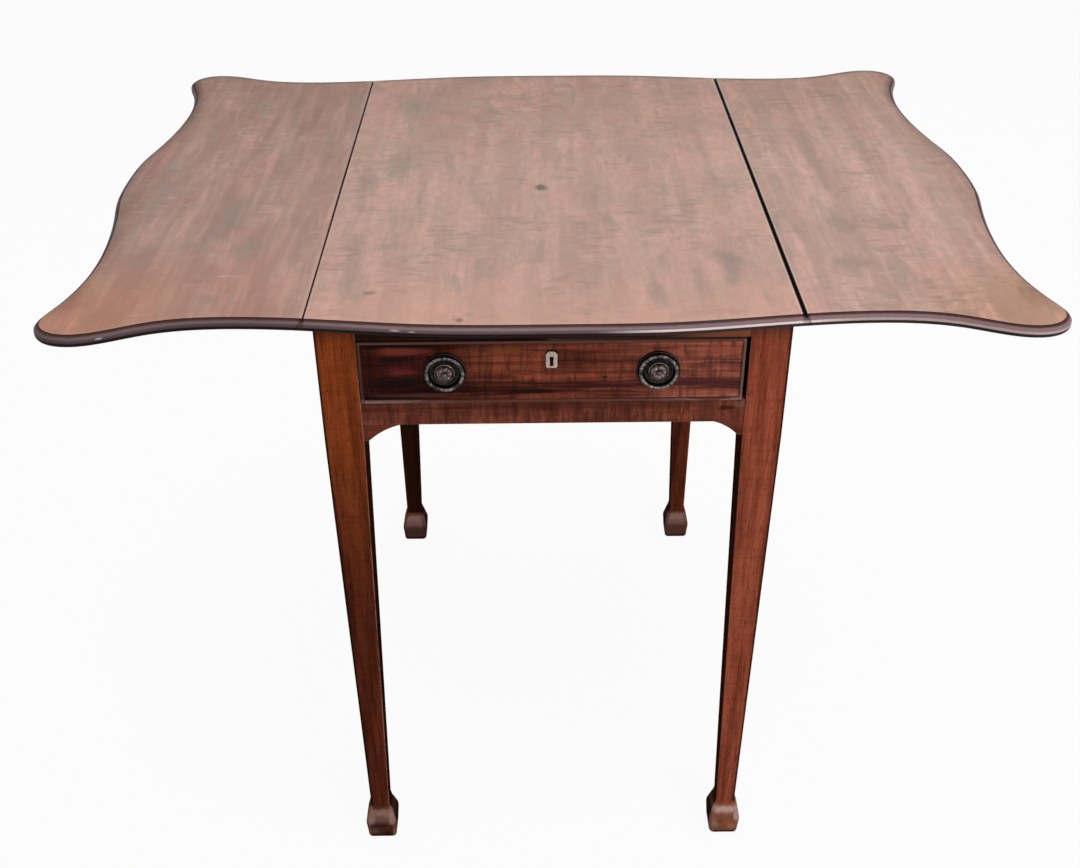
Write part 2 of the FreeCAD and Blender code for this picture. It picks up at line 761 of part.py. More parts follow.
def drawer_front():
    """Drawer front with its sockets, rebate, groove, lock recess and holes."""
    front = box((-drawer_half, drawer_half), (front_y, front_back_y), (drawer_base, drawer_top))
    cuts = [bead_rebate(), drawer_bottom_panel(groove_gap), keyhole(front_back_y)]
    cuts += [escutcheon_blank(glue_gap), lock_case_block(glue_gap), bolt_way()]
    for name, side in SIDES:
        cuts += tails(side) + [handle_hole(side)]
    return front.cut(cuts)


def drawer_side(side):
    """Drawer side with its dovetails and the groove for the bottom."""
    board = box((side * drawer_half, side * (drawer_half - drawer_side_thickness)),
                (front_back_y, drawer_back_y), (drawer_base, drawer_side_top))
    return merge([board] + tails(side)).cut(drawer_bottom_panel(groove_gap))


def drawer_back():
    """Drawer back, standing on the bottom between the sides."""
    half = drawer_half - drawer_side_thickness
    return box((-half, half), (drawer_back_y - drawer_back_thickness, drawer_back_y),
               (bottom_z + bottom_thickness, drawer_side_top - drawer_back_drop))


def cock_bead():
    """Four mitred strips round the drawer front, each with a rounded nose."""
    nose_y = front_y - bead_proud
    signs = ((-1, -1), (1, -1), (1, 1), (-1, 1), (-1, -1))
    half_height = (drawer_top - drawer_base) / 2

    def corners(inset):
        """Corners of the bead's frame, drawn in by inset."""
        half_x, half_z = drawer_half - inset, half_height - inset
        return [V(x * half_x, nose_y, drawer_mid_z + z * half_z) for x, z in signs]

    outer, inner = corners(0), corners(bead_thickness)
    strips = []
    for number in range(len(signs) - 1):
        ring = outer[number:number + 2] + inner[number:number + 2][::-1] + outer[number:number + 1]
        strip = prism(lines(ring), V(0, bead_depth + bead_proud, 0))
        nose = [edge for edge in strip.Edges
                if edge.BoundBox.YMax < nose_y + level_error and edge.Length > 2 * bead_thickness]
        strips.append(strip.makeFillet((bead_thickness - bead_nose_flat) / 2, nose))
    return Part.makeCompound(strips)


def drawer_nodes():
    """The drawer box with its bead."""
    nodes = {"drawer_front": drawer_front(), "drawer_back": drawer_back(), "cock_bead": cock_bead()}
    nodes["drawer_bottom"] = drawer_bottom_panel()
    for name, side in SIDES:
        nodes["drawer_side_" + name] = drawer_side(side)
    return nodes


def lock_nodes():
    """Lock case, its bolt and the inlaid escutcheon."""
    case = lock_case_block().cut([bolt_way(), keyhole(bolt_y)])
    bolt = bolt_block(bolt_top - bolt_length, bolt_top)
    return {"lock_case": case, "lock_bolt": bolt, "escutcheon": escutcheon_blank().cut(keyhole(front_back_y))}


# Ring handles, drawn at the drawer's middle and moved out

def handle_plate():
    """Round plate with a raised rim and the lug that the ring hangs in."""
    out = V(0, -1, 0)
    centre = V(0, front_y, drawer_mid_z)
    disc = rod(centre, out, plate_thickness + plate_rim_height, plate_radius)
    dish_radius = plate_radius - plate_rim_width
    dish = rod(centre + out * plate_thickness, out, plate_rim_height + overrun, dish_radius)
    half = lug_width / 2
    lug = rod(V(-half, ring_y, ring_top_z), V(1, 0, 0), lug_width, lug_radius)
    root = box((-half, half), (front_y, ring_y), (ring_top_z - lug_radius, ring_top_z + lug_radius))
    eye_radius = ring_stock_radius + lug_gap
    eye = rod(V(-half - overrun, ring_y, ring_top_z), V(1, 0, 0), lug_width + 2 * overrun, eye_radius)
    hole = rod(centre - out * overrun, out, plate_thickness + 2 * overrun, boss_shank_radius + screw_gap)
    return merge([disc.cut(dish), lug, root]).cut([eye, hole])


def handle_boss():
    """Domed boss in the middle of the plate, on a shank through the drawer front."""
    out = V(0, -1, 0)
    seat = V(0, front_y - plate_thickness, drawer_mid_z)
    rise = boss_height - boss_collar
    crown_radius = (boss_radius ** 2 + rise ** 2) / (2 * rise)
    crown = Part.makeSphere(crown_radius, seat + out * (boss_height - crown_radius))
    dome = rod(seat, out, boss_height + overrun, boss_radius).common(crown)
    length = plate_thickness + front_thickness + boss_shank_spare
    return merge([dome, rod(seat, V(0, 1, 0), length, boss_shank_radius)])


def handle_ring():
    """Plain ring hanging round the boss."""
    return Part.makeTorus(ring_radius, ring_stock_radius, V(0, ring_y, drawer_mid_z), V(0, 1, 0))


def handle_nut():
    """Square nut behind the drawer front."""
    half = nut_square / 2
    nut = box((-half, half), (front_back_y, front_back_y + nut_thickness),
              (drawer_mid_z - half, drawer_mid_z + half))
    start = V(0, front_back_y - overrun, drawer_mid_z)
    return nut.cut(rod(start, V(0, 1, 0), nut_thickness + 2 * overrun, boss_shank_radius + screw_gap))


def handle_nodes():
    """Both ring handles."""
    nodes, nuts = {}, []
    pieces = {"handle_plate_": handle_plate(), "handle_boss_": handle_boss(), "handle_ring_": handle_ring()}
    for name, side in SIDES:
        place = V(side * handle_offset, 0, 0)
        for stem, shape in pieces.items():
            nodes[stem + name] = shape.translated(place)
        nuts.append(handle_nut().translated(place))
    nodes["handle_nuts"] = Part.makeCompound(nuts)
    return nodes


def leaning_nodes():
    """The drawer with its lock and handles, leaning to the left in its opening."""
    nodes = {**drawer_nodes(), **lock_nodes(), **handle_nodes()}
    return {name: shape.translated(V(-drawer_lean, 0, 0)) for name, shape in nodes.items()}


def main():
    """Build every piece and write it to its own file."""
    os.makedirs("parts", exist_ok=True)
    for group in (top_nodes, frame_nodes, fly_nodes, guide_nodes, leaning_nodes):
        for name, shape in sorted(group().items()):
            print(name, len(shape.Solids), "solids", round(shape.Volume), "mm3", "valid", shape.isValid())
            shape.exportStep("parts/%s.step" % name)


main()
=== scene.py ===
import logging
import math
from dataclasses import dataclass, field
from enum import Enum
from typing import Callable, Dict, List, Mapping, Optional, Sequence, Tuple, Union

import bmesh
import bpy
from mathutils import Matrix, Vector, noise


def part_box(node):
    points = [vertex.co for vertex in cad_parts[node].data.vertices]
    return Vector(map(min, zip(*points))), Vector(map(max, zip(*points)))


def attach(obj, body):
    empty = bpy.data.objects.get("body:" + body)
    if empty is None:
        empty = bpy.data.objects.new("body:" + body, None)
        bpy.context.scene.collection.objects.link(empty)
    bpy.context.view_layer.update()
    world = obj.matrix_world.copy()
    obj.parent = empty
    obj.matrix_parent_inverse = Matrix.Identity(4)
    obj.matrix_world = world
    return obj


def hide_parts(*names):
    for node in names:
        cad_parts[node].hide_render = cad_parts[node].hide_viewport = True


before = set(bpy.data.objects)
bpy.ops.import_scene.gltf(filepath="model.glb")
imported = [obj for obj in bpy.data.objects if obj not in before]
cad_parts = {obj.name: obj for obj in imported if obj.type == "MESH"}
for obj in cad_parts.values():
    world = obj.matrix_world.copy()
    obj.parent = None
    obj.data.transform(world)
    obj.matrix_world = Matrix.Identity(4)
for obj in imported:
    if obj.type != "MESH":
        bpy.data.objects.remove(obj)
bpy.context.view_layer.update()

Colour = Tuple[float, float, float]
Point = Tuple[float, float, float]
Socket = bpy.types.NodeSocket
Value = Union[float, str, Sequence[float], Socket]

log = logging.getLogger("pembroke_table")
MM = 0.001
NEAR = 0.02 * MM
WELD = 0.002 * MM
FLAT_UNDER = 0.05
TOP_LEVEL = 0.72
TOP_UNDERSIDE = 0.709
FRONT_FACE = -0.3105
CORNER_FROM = 35.0
SMOOTH_UNDER = 40.0
BLACK: Colour = (0.006, 0.004, 0.003)


class Grain(Enum):
    """Run of the wood's fibres: the turn that brings them onto X, and cells of ragged edges to the metre."""

    ACROSS = ((0.0, 0.0, 0.0), (26.0, 110.0, 170.0))
    DEEP = ((0.0, 0.0, -math.pi / 2), (95.0, 32.0, 95.0))
    UPRIGHT = ((0.0, math.pi / 2, 0.0), (170.0, 170.0, 26.0))

    @property
    def turn(self) -> Tuple[float, float, float]:
        """Turn of the figure."""
        return self.value[0]

    @property
    def ragged(self) -> Tuple[float, float, float]:
        """Cells of the unrest along a mark's edge."""
        return self.value[1]


class Axis(Enum):
    """What a colour zone is measured along."""

    X = "X"
    Y = "Y"
    Z = "Z"
    FROM_MIDDLE = "|X|"


class Blend(Enum):
    """How a zone's colour is laid on."""

    COVER = "MIX"
    TINT = "MULTIPLY"


class Graph:
    """Adds and joins the nodes of one tree."""

    def __init__(self, tree: bpy.types.NodeTree) -> None:
        """Keeps the tree."""
        self.tree = tree

    def feed(self, socket: Socket, value: Value) -> None:
        """Links a socket into an input, or sets its value.

        Args:
            socket: The input.
            value: Another node's output, a number, a vector or a colour.
        """
        if isinstance(value, bpy.types.NodeSocket):
            self.tree.links.new(value, socket)
        elif socket.type == "RGBA":
            socket.default_value = (*value, 1.0)
        else:
            socket.default_value = value

    def add(self, kind: str, inputs: Optional[Mapping[Union[int, str], Value]] = None,
            **settings: object) -> bpy.types.Node:
        """Adds a node.

        Args:
            kind: The node's type name.
            inputs: Values of its inputs, by name or number.
            **settings: The node's own properties.

        Returns:
            The node.
        """
        node = self.tree.nodes.new(kind)
        for name, value in settings.items():
            setattr(node, name, value)
        for name, value in (inputs or {}).items():
            self.feed(node.inputs[name], value)
        return node

    def math(self, operation: str, first: Value, second: Value = 0.0, clamp: bool = False) -> Socket:
        """Puts two numbers through one operation."""
        return self.add("ShaderNodeMath", {0: first, 1: second}, operation=operation, use_clamp=clamp).outputs[0]

    def blend(self, factor: Value, first: Value, second: Value, mode: Blend = Blend.COVER) -> Socket:
        """Lays the second colour on the first, by a factor.

        Args:
            factor: Share of the second colour.
            first: The colour below.
            second: The colour on top.
            mode: How it is laid on.

        Returns:
            The blended colour.
        """
        node = self.add("ShaderNodeMix", data_type="RGBA", blend_type=mode.value)
        for number, value in ((0, factor), (6, first), (7, second)):
            self.feed(node.inputs[number], value)
        return node.outputs[2]

    def ramp(self, value: Value, none_at: Value, full_at: Value, low: float = 0.0, high: float = 1.0) -> Socket:
        """Smooth step of a value, from low at one level to high at another.

        Args:
            value: The value.
            none_at: Level that gives low.
            full_at: Level that gives high.
            low: Result at the first level.
            high: Result at the second level.

        Returns:
            The result.
        """
        names = ("Value", "From Min", "From Max", "To Min", "To Max")
        inputs = dict(zip(names, (value, none_at, full_at, low, high)))
        return self.add("ShaderNodeMapRange", inputs, interpolation_type="SMOOTHSTEP").outputs[0]

    def stretch(self, vector: Value, scale: Sequence[float]) -> Socket:
        """Coordinates times a scale for each axis."""
        return self.add("ShaderNodeVectorMath", {0: vector, 1: scale}, operation="MULTIPLY").outputs[0]

    def noise(self, vector: Value, detail: float = 2.0, rough: float = 0.5, distort: float = 0.0) -> Socket:
        """Cloudy noise, one cell to each unit of the coordinates."""
        inputs = {"Vector": vector, "Scale": 1.0, "Detail": detail, "Roughness": rough, "Distortion": distort}
        return self.add("ShaderNodeTexNoise", inputs).outputs[0]

    def group(self, tree: bpy.types.NodeTree, inputs: Mapping[str, Value]) -> bpy.types.Node:
        """Places a shared group.

        Args:
            tree: The group's tree.
            inputs: Values of its inputs by name.

        Returns:
            The group's node.
        """
        node = self.add("ShaderNodeGroup", node_tree=tree)
        for name, value in inputs.items():
            self.feed(node.inputs[name], value)
        return node


class SharedTree:
    """A node tree with named inputs and outputs, built once and used in many places."""

    name = ""
    kind = "ShaderNodeTree"
    takes: Tuple[Tuple[str, str], ...] = ()
    gives: Tuple[str, ...] = ()
    gives_kind = "NodeSocketFloat"

    @classmethod
    def tree(cls) -> bpy.types.NodeTree:
        """Finds the tree, or builds it.

        Returns:
            The tree.
        """
        found = bpy.data.node_groups.get(cls.name)
        if found:
            return found
        tree = bpy.data.node_groups.new(cls.name, cls.kind)
        for name, kind in cls.takes:
            tree.interface.new_socket(name=name, in_out="INPUT", socket_type=kind)
        for name in cls.gives:
            tree.interface.new_socket(name=name, in_out="OUTPUT", socket_type=cls.gives_kind)
        graph = Graph(tree)
        way_in = graph.add("NodeGroupInput")
        way_out = graph.add("NodeGroupOutput")
        for name, value in cls.fill(graph, way_in.outputs).items():
            graph.feed(way_out.inputs[name], value)
        return tree

    @classmethod
    def fill(cls, graph: Graph, given: bpy.types.NodeOutputs) -> Dict[str, Socket]:
        """Builds what the tree does; each tree has its own."""
        raise NotImplementedError


@dataclass(frozen=True)
class Layer:
    """Stretched noise: cells to the metre along and across the fibres, and levels where it starts and is full."""

    along: float
    across: float
    detail: float
    distort: float
    low: float
    high: float
    rough: float = 0.58


class LayeredGroup(SharedTree):
    """Layers of noise by name, some of them joined in pairs."""

    takes = (("Vector", "NodeSocketVector"),)
    fibres = 0
    layers: Dict[str, Layer] = {}
    joined: Dict[str, Tuple[str, str, str]] = {}

    @classmethod
    def fill(cls, graph: Graph, given: bpy.types.NodeOutputs) -> Dict[str, Socket]:
        """Builds each layer, then joins the pairs.

        Args:
            graph: The group's graph.
            given: The group's inputs.

        Returns:
            The outputs by name.
        """
        out = {}
        for name, layer in cls.layers.items():
            cells = [layer.across] * 3
            cells[cls.fibres] = layer.along
            clouds = graph.noise(graph.stretch(given["Vector"], cells), layer.detail, layer.rough, layer.distort)
            out[name] = graph.ramp(clouds, layer.low, layer.high)
        for name, (operation, first, second) in cls.joined.items():
            out[name] = graph.math(operation, out[first], out[second])
        return {name: out[name] for name in cls.gives}


class GrainGroup(LayeredGroup):
    """Mahogany's figure, with the fibres along X."""

    name = "mahogany_grain"
    gives = ("Bands", "Streaks", "Fibre", "Pores", "Figure", "Flecks", "Clouds", "Relief")
    layers = {
        "Bands": Layer(2.4, 36.0, 3.0, 0.6, 0.32, 0.68),
        "Streaks": Layer(7.0, 150.0, 4.0, 0.3, 0.34, 0.66),
        "Fibre": Layer(24.0, 820.0, 2.0, 0.0, 0.30, 0.70),
        "Pores": Layer(100.0, 1300.0, 1.0, 0.0, 0.60, 0.72),
        "Figure": Layer(105.0, 15.0, 3.0, 0.4, 0.36, 0.66),
        "Flecks": Layer(230.0, 34.0, 3.0, 0.8, 0.44, 0.66),
        "Clouds": Layer(8.0, 30.0, 3.0, 0.5, 0.50, 0.74),
    }
    joined = {"Relief": ("SUBTRACT", "Fibre", "Pores")}


class FadedGroup(LayeredGroup):
    """Bleached mahogany with its boards along Y: patches of colour, stains, and short ripples across."""

    name = "faded_mahogany"
    gives = ("Olive", "Pink", "Stain", "Ripple", "Gleam", "Speckle", "Streak")
    fibres = 1
    layers = {
        "Olive": Layer(13.0, 26.0, 4.0, 0.5, 0.40, 0.64),
        "Pink": Layer(9.0, 17.0, 3.0, 0.3, 0.46, 0.68),
        "Stain": Layer(12.0, 46.0, 4.0, 0.5, 0.53, 0.70),
        "Ripple": Layer(105.0, 44.0, 1.5, 0.4, 0.50, 0.66),
        "Rippled": Layer(10.0, 14.0, 2.0, 0.4, 0.44, 0.64),
        "Gleam": Layer(95.0, 48.0, 1.5, 0.3, 0.54, 0.70),
        "Gleaming": Layer(8.0, 13.0, 2.0, 0.3, 0.45, 0.65),
        "Speckle": Layer(72.0, 135.0, 2.5, 0.0, 0.34, 0.66),
        "Streak": Layer(9.0, 105.0, 3.0, 0.3, 0.36, 0.64),
    }
    joined = {"Ripple": ("MULTIPLY", "Ripple", "Rippled"), "Gleam": ("MULTIPLY", "Gleam", "Gleaming")}


class SmearGroup(LayeredGroup):
    """Handling: smears in the gloss."""

    name = "handling_smears"
    gives = ("Smears",)
    layers = {"Smears": Layer(26.0, 26.0, 5.0, 0.8, 0.30, 0.70, 0.65)}


class WearGroup(SharedTree):
    """Rubbed corners: a mesh mask, broken up so that it comes and goes."""

    name = "rubbed_corners"
    takes = (("Vector", "NodeSocketVector"), ("Mask", "NodeSocketFloat"), ("Patchiness", "NodeSocketFloat"))
    gives = ("Rubbed",)
    broad_cells = 28.0
    fine_cells = 420.0
    fine_share = 0.5
    levels = (0.38, 0.62)

    @classmethod
    def fill(cls, graph: Graph, given: bpy.types.NodeOutputs) -> Dict[str, Socket]:
        """Builds the broken mask.

        Args:
            graph: The group's graph.
            given: The group's inputs.

        Returns:
            The outputs by name.
        """
        broad = graph.noise(graph.stretch(given["Vector"], (cls.broad_cells,) * 3), 3.0)
        fine = graph.noise(graph.stretch(given["Vector"], (cls.fine_cells,) * 3), 2.0)
        unrest = graph.math("MULTIPLY", graph.math("SUBTRACT", fine, 0.5), cls.fine_share)
        patches = graph.ramp(graph.math("ADD", broad, unrest), *cls.levels)
        hold = graph.math("SUBTRACT", 1.0, given["Patchiness"])
        kept = graph.math("ADD", hold, graph.math("MULTIPLY", patches, given["Patchiness"]))
        return {"Rubbed": graph.math("MULTIPLY", given["Mask"], kept, clamp=True)}


@dataclass(frozen=True)
class Zone:
    """Part of a piece that takes another colour, between levels in metres.

    Each limit names what it is measured along, the level where the zone starts and the level where it is full.
    """

    limits: Tuple[Tuple[Axis, float, float], ...]
    colour: Colour
    share: float = 1.0
    ragged: float = 0.0
    mode: Blend = Blend.COVER


@dataclass(frozen=True)
class Spot:
    """Round or long mark with a ragged edge."""

    centre: Point
    radii: Point
    colour: Colour
    share: float


class Finish:
    """What covers a piece: a material that is built once."""

    name: str

    def material(self) -> bpy.types.Material:
        """Finds the material, or builds it.

        Returns:
            The material.
        """
        found = bpy.data.materials.get(self.name)
        if found:
            return found
        material = bpy.data.materials.new(self.name)
        material.use_nodes = True
        graph = Graph(material.node_tree)
        place = graph.add("ShaderNodeTexCoord").outputs["Object"]
        self.dress(graph, material.node_tree.nodes["Principled BSDF"].inputs, place)
        return material

    def dress(self, graph: Graph, shader: bpy.types.NodeInputs, place: Socket) -> None:
        """Joins the finish to the shader; each kind of finish has its own way."""
        raise NotImplementedError


@dataclass(frozen=True)
class WoodFinish(Finish):
    """Polished or bare wood, by its two main colours and the strength of each part of its figure."""

    name: str
    pale: Colour
    deep: Colour
    grain: Grain
    seed: float = 0.0
    bands: float = 0.5
    streaks: float = 0.4
    fibre: float = 0.25
    pores: float = 0.5
    figure: float = 0.0
    flecks: float = 0.0
    clouds: float = 0.0
    cloud: Colour = (0.03, 0.014, 0.010)
    pore: Colour = (0.012, 0.005, 0.004)
    worn: Colour = (0.34, 0.19, 0.13)
    wear: float = 0.0
    patchy: float = 0.7
    roughness: float = 0.38
    smears: float = 0.14
    mirror: float = 0.03
    relief: float = 0.22
    relief_depth: float = 0.4 * MM
    # Colour and share of painted shade, laid where the mesh's mask marks it.
    painted_shade_colour: Colour = (0.007, 0.003, 0.002)
    painted_shade_share: float = 0.0
    zones: Tuple[Zone, ...] = ()
    spots: Tuple[Spot, ...] = ()

    SHIFT = (1.0, 0.37, 0.61)
    SPOT_UNREST = 1.6
    SPOT_CORE = 0.25

    def dress(self, graph: Graph, shader: bpy.types.NodeInputs, place: Socket) -> None:
        """Joins the wood's colour, gloss and relief to the shader.

        Args:
            graph: The material's graph.
            shader: The shader's inputs.
            place: Object coordinates.
        """
        shift = [self.seed * share for share in self.SHIFT]
        turned = graph.add("ShaderNodeMapping", {"Vector": place, "Rotation": self.grain.turn, "Location": shift})
        figure = graph.group(GrainGroup.tree(), {"Vector": turned.outputs[0]}).outputs
        colour = self.marks(graph, place, self.wood(graph, place, figure))
        # Painted shade where the mesh's mask marks it.
        if self.painted_shade_share:
            shade_mask = graph.add("ShaderNodeAttribute", attribute_name="painted_shade").outputs["Fac"]
            colour = graph.blend(graph.math("MULTIPLY", shade_mask, self.painted_shade_share), colour, self.painted_shade_colour)
        if self.wear:
            mask = graph.add("ShaderNodeAttribute", attribute_name="wear").outputs["Fac"]
            rubbed = graph.group(WearGroup.tree(), {"Vector": place, "Mask": mask, "Patchiness": self.patchy})
            colour = graph.blend(graph.math("MULTIPLY", rubbed.outputs[0], self.wear), colour, self.worn)
        graph.feed(shader["Base Color"], colour)
        smears = graph.group(SmearGroup.tree(), {"Vector": place}).outputs[0]
        gloss = graph.ramp(smears, 0.0, 1.0, self.roughness - self.smears / 2, self.roughness + self.smears)
        graph.feed(shader["Roughness"], gloss)
        bump = graph.add("ShaderNodeBump", {"Strength": self.relief, "Distance": self.relief_depth,
                                            "Height": figure["Relief"]})
        graph.feed(shader["Normal"], bump.outputs[0])
        shader["Specular IOR Level"].default_value = self.mirror

    def wood(self, graph: Graph, place: Socket, figure: bpy.types.NodeOutputs) -> Socket:
        """Colour of the plain figure.

        Args:
            graph: The material's graph.
            place: Object coordinates.
            figure: What the grain group gives.

        Returns:
            The colour.
        """
        tone: Value = 0.5
        for layer, share in (("Bands", self.bands), ("Streaks", self.streaks), ("Fibre", self.fibre)):
            swing = graph.math("MULTIPLY", graph.math("SUBTRACT", figure[layer], 0.5), share)
            tone = graph.math("ADD", tone, swing, clamp=True)
        colour = graph.blend(tone, self.deep, self.pale)
        laid = (("Figure", self.figure, self.deep), ("Flecks", self.flecks, self.deep),
                ("Clouds", self.clouds, self.cloud), ("Pores", self.pores, self.pore))
        for layer, share, tint in laid:
            if share:
                colour = graph.blend(graph.math("MULTIPLY", figure[layer], share), colour, tint)
        return colour

    def marks(self, graph: Graph, place: Socket, colour: Socket) -> Socket:
        """Lays the zones and spots on the wood.

        Args:
            graph: The material's graph.
            place: Object coordinates.
            colour: The wood's colour.

        Returns:
            The colour with its zones and spots.
        """
        if not self.zones and not self.spots:
            return colour
        axes = graph.add("ShaderNodeSeparateXYZ", {0: place}).outputs
        levels = {Axis.X: axes[0], Axis.Y: axes[1], Axis.Z: axes[2],
                  Axis.FROM_MIDDLE: graph.math("ABSOLUTE", axes[0])}
        rough = graph.noise(graph.stretch(place, self.grain.ragged), 4.0, 0.6)
        unrest = graph.math("SUBTRACT", rough, 0.5)
        for zone in self.zones:
            mask: Value = zone.share
            for axis, none_at, full_at in zone.limits:
                level = levels[axis]
                if zone.ragged:
                    level = graph.math("ADD", level, graph.math("MULTIPLY", unrest, zone.ragged))
                mask = graph.math("MULTIPLY", graph.ramp(level, none_at, full_at), mask)
            colour = graph.blend(mask, colour, zone.colour, zone.mode)
        for spot in self.spots:
            scale = [1.0 / radius for radius in spot.radii]
            shift = [-middle * size for middle, size in zip(spot.centre, scale)]
            near = graph.add("ShaderNodeVectorMath", {0: place, 1: scale, 2: shift}, operation="MULTIPLY_ADD")
            reach = graph.add("ShaderNodeVectorMath", {0: near.outputs[0]}, operation="LENGTH").outputs["Value"]
            edge = graph.math("ADD", reach, graph.math("MULTIPLY", unrest, self.SPOT_UNREST))
            colour = graph.blend(graph.ramp(edge, 1.0, self.SPOT_CORE, 0.0, spot.share), colour, spot.colour)
        return colour


@dataclass(frozen=True)
class FadedTop(WoodFinish):
    """Board of the bleached top."""

    olive: Colour = (0.430, 0.312, 0.245)
    pink: Colour = (0.640, 0.362, 0.312)
    stain: Colour = (0.305, 0.245, 0.205)
    ripple: Colour = (0.285, 0.200, 0.170)
    gleam: Colour = (0.640, 0.480, 0.420)
    # Tint of the band along the outline: painted shade, strongest at the rear.
    rim: Colour = (0.36, 0.40, 0.44)
    streaky: float = 0.30
    stained: float = 0.55
    mottled: float = 0.60
    rippled: float = 0.46
    gleaming: float = 0.24
    speckled: float = 0.26

    FADE_SHIFT = (1.0, 0.7, 0.0)
    TONES = (0.15, 0.85)

    def wood(self, graph: Graph, place: Socket, figure: bpy.types.NodeOutputs) -> Socket:
        """Colour of the faded board.

        Args:
            graph: The material's graph.
            place: Object coordinates.
            figure: What the grain group gives.

        Returns:
            The colour.
        """
        shift = [self.seed * share for share in self.FADE_SHIFT]
        shifted = graph.add("ShaderNodeMapping", {"Vector": place, "Location": shift})
        fade = graph.group(FadedGroup.tree(), {"Vector": shifted.outputs[0]}).outputs
        tone = graph.ramp(figure["Bands"], 0.0, 1.0, *self.TONES)
        colour = graph.blend(tone, self.deep, self.pale)
        laid = (("Olive", self.mottled, self.olive), ("Pink", self.mottled, self.pink),
                ("Streak", self.streaky, self.deep), ("Stain", self.stained, self.stain),
                ("Ripple", self.rippled, self.ripple), ("Gleam", self.gleaming, self.gleam),
                ("Speckle", self.speckled, self.stain))
        for layer, share, tint in laid:
            colour = graph.blend(graph.math("MULTIPLY", fade[layer], share), colour, tint)
        # Painted shade along the outline.
        near_rim = graph.add("ShaderNodeAttribute", attribute_name="rim").outputs["Fac"]
        colour = graph.blend(near_rim, colour, self.rim, Blend.TINT)
        return graph.blend(graph.math("MULTIPLY", figure["Pores"], self.pores), colour, self.pore)


@dataclass(frozen=True)
class MetalFinish(Finish):
    """Old metal: bare colour, tarnish that gathers in places, and a gloss that varies."""

    name: str
    bare: Colour
    tarnish: Colour
    cover: float
    rough_low: float
    rough_high: float
    metallic: float = 1.0
    cells: float = 160.0
    pitting: float = 0.15
    rubbed: float = 0.0

    SMEAR_CELLS = 8.0
    COVER_STEP = 0.6
    PATCH_EDGE = 0.16
    PATCHINESS = 0.45
    SMEARED = 0.3
    PIT_CELLS = 6.0
    PIT_DEPTH = 0.2 * MM

    def dress(self, graph: Graph, shader: bpy.types.NodeInputs, place: Socket) -> None:
        """Joins the metal's colour, gloss and pitting to the shader.

        Args:
            graph: The material's graph.
            shader: The shader's inputs.
            place: Object coordinates.
        """
        wide = graph.stretch(place, (self.SMEAR_CELLS,) * 3)
        smears = graph.group(SmearGroup.tree(), {"Vector": wide}).outputs[0]
        cloudy = graph.noise(graph.stretch(place, (self.cells,) * 3), 4.0, 0.62)
        level = 0.5 - (self.cover - 0.5) * self.COVER_STEP
        patches = graph.ramp(cloudy, level - self.PATCH_EDGE, level + self.PATCH_EDGE)
        if self.rubbed:
            mask = graph.add("ShaderNodeAttribute", attribute_name="wear").outputs["Fac"]
            rubbed = graph.group(WearGroup.tree(), {"Vector": place, "Mask": mask, "Patchiness": self.PATCHINESS})
            keep = graph.math("SUBTRACT", 1.0, graph.math("MULTIPLY", rubbed.outputs[0], self.rubbed))
            patches = graph.math("MULTIPLY", patches, keep)
        graph.feed(shader["Base Color"], graph.blend(patches, self.bare, self.tarnish))
        gloss = graph.math("ADD", graph.math("MULTIPLY", patches, 1.0 - self.SMEARED),
                           graph.math("MULTIPLY", smears, self.SMEARED))
        graph.feed(shader["Roughness"], graph.ramp(gloss, 0.0, 1.0, self.rough_low, self.rough_high))
        shader["Metallic"].default_value = self.metallic
        fine = graph.noise(graph.stretch(place, (self.cells * self.PIT_CELLS,) * 3), 3.0)
        bump = graph.add("ShaderNodeBump", {"Strength": self.pitting, "Distance": self.PIT_DEPTH, "Height": fine})
        graph.feed(shader["Normal"], bump.outputs[0])


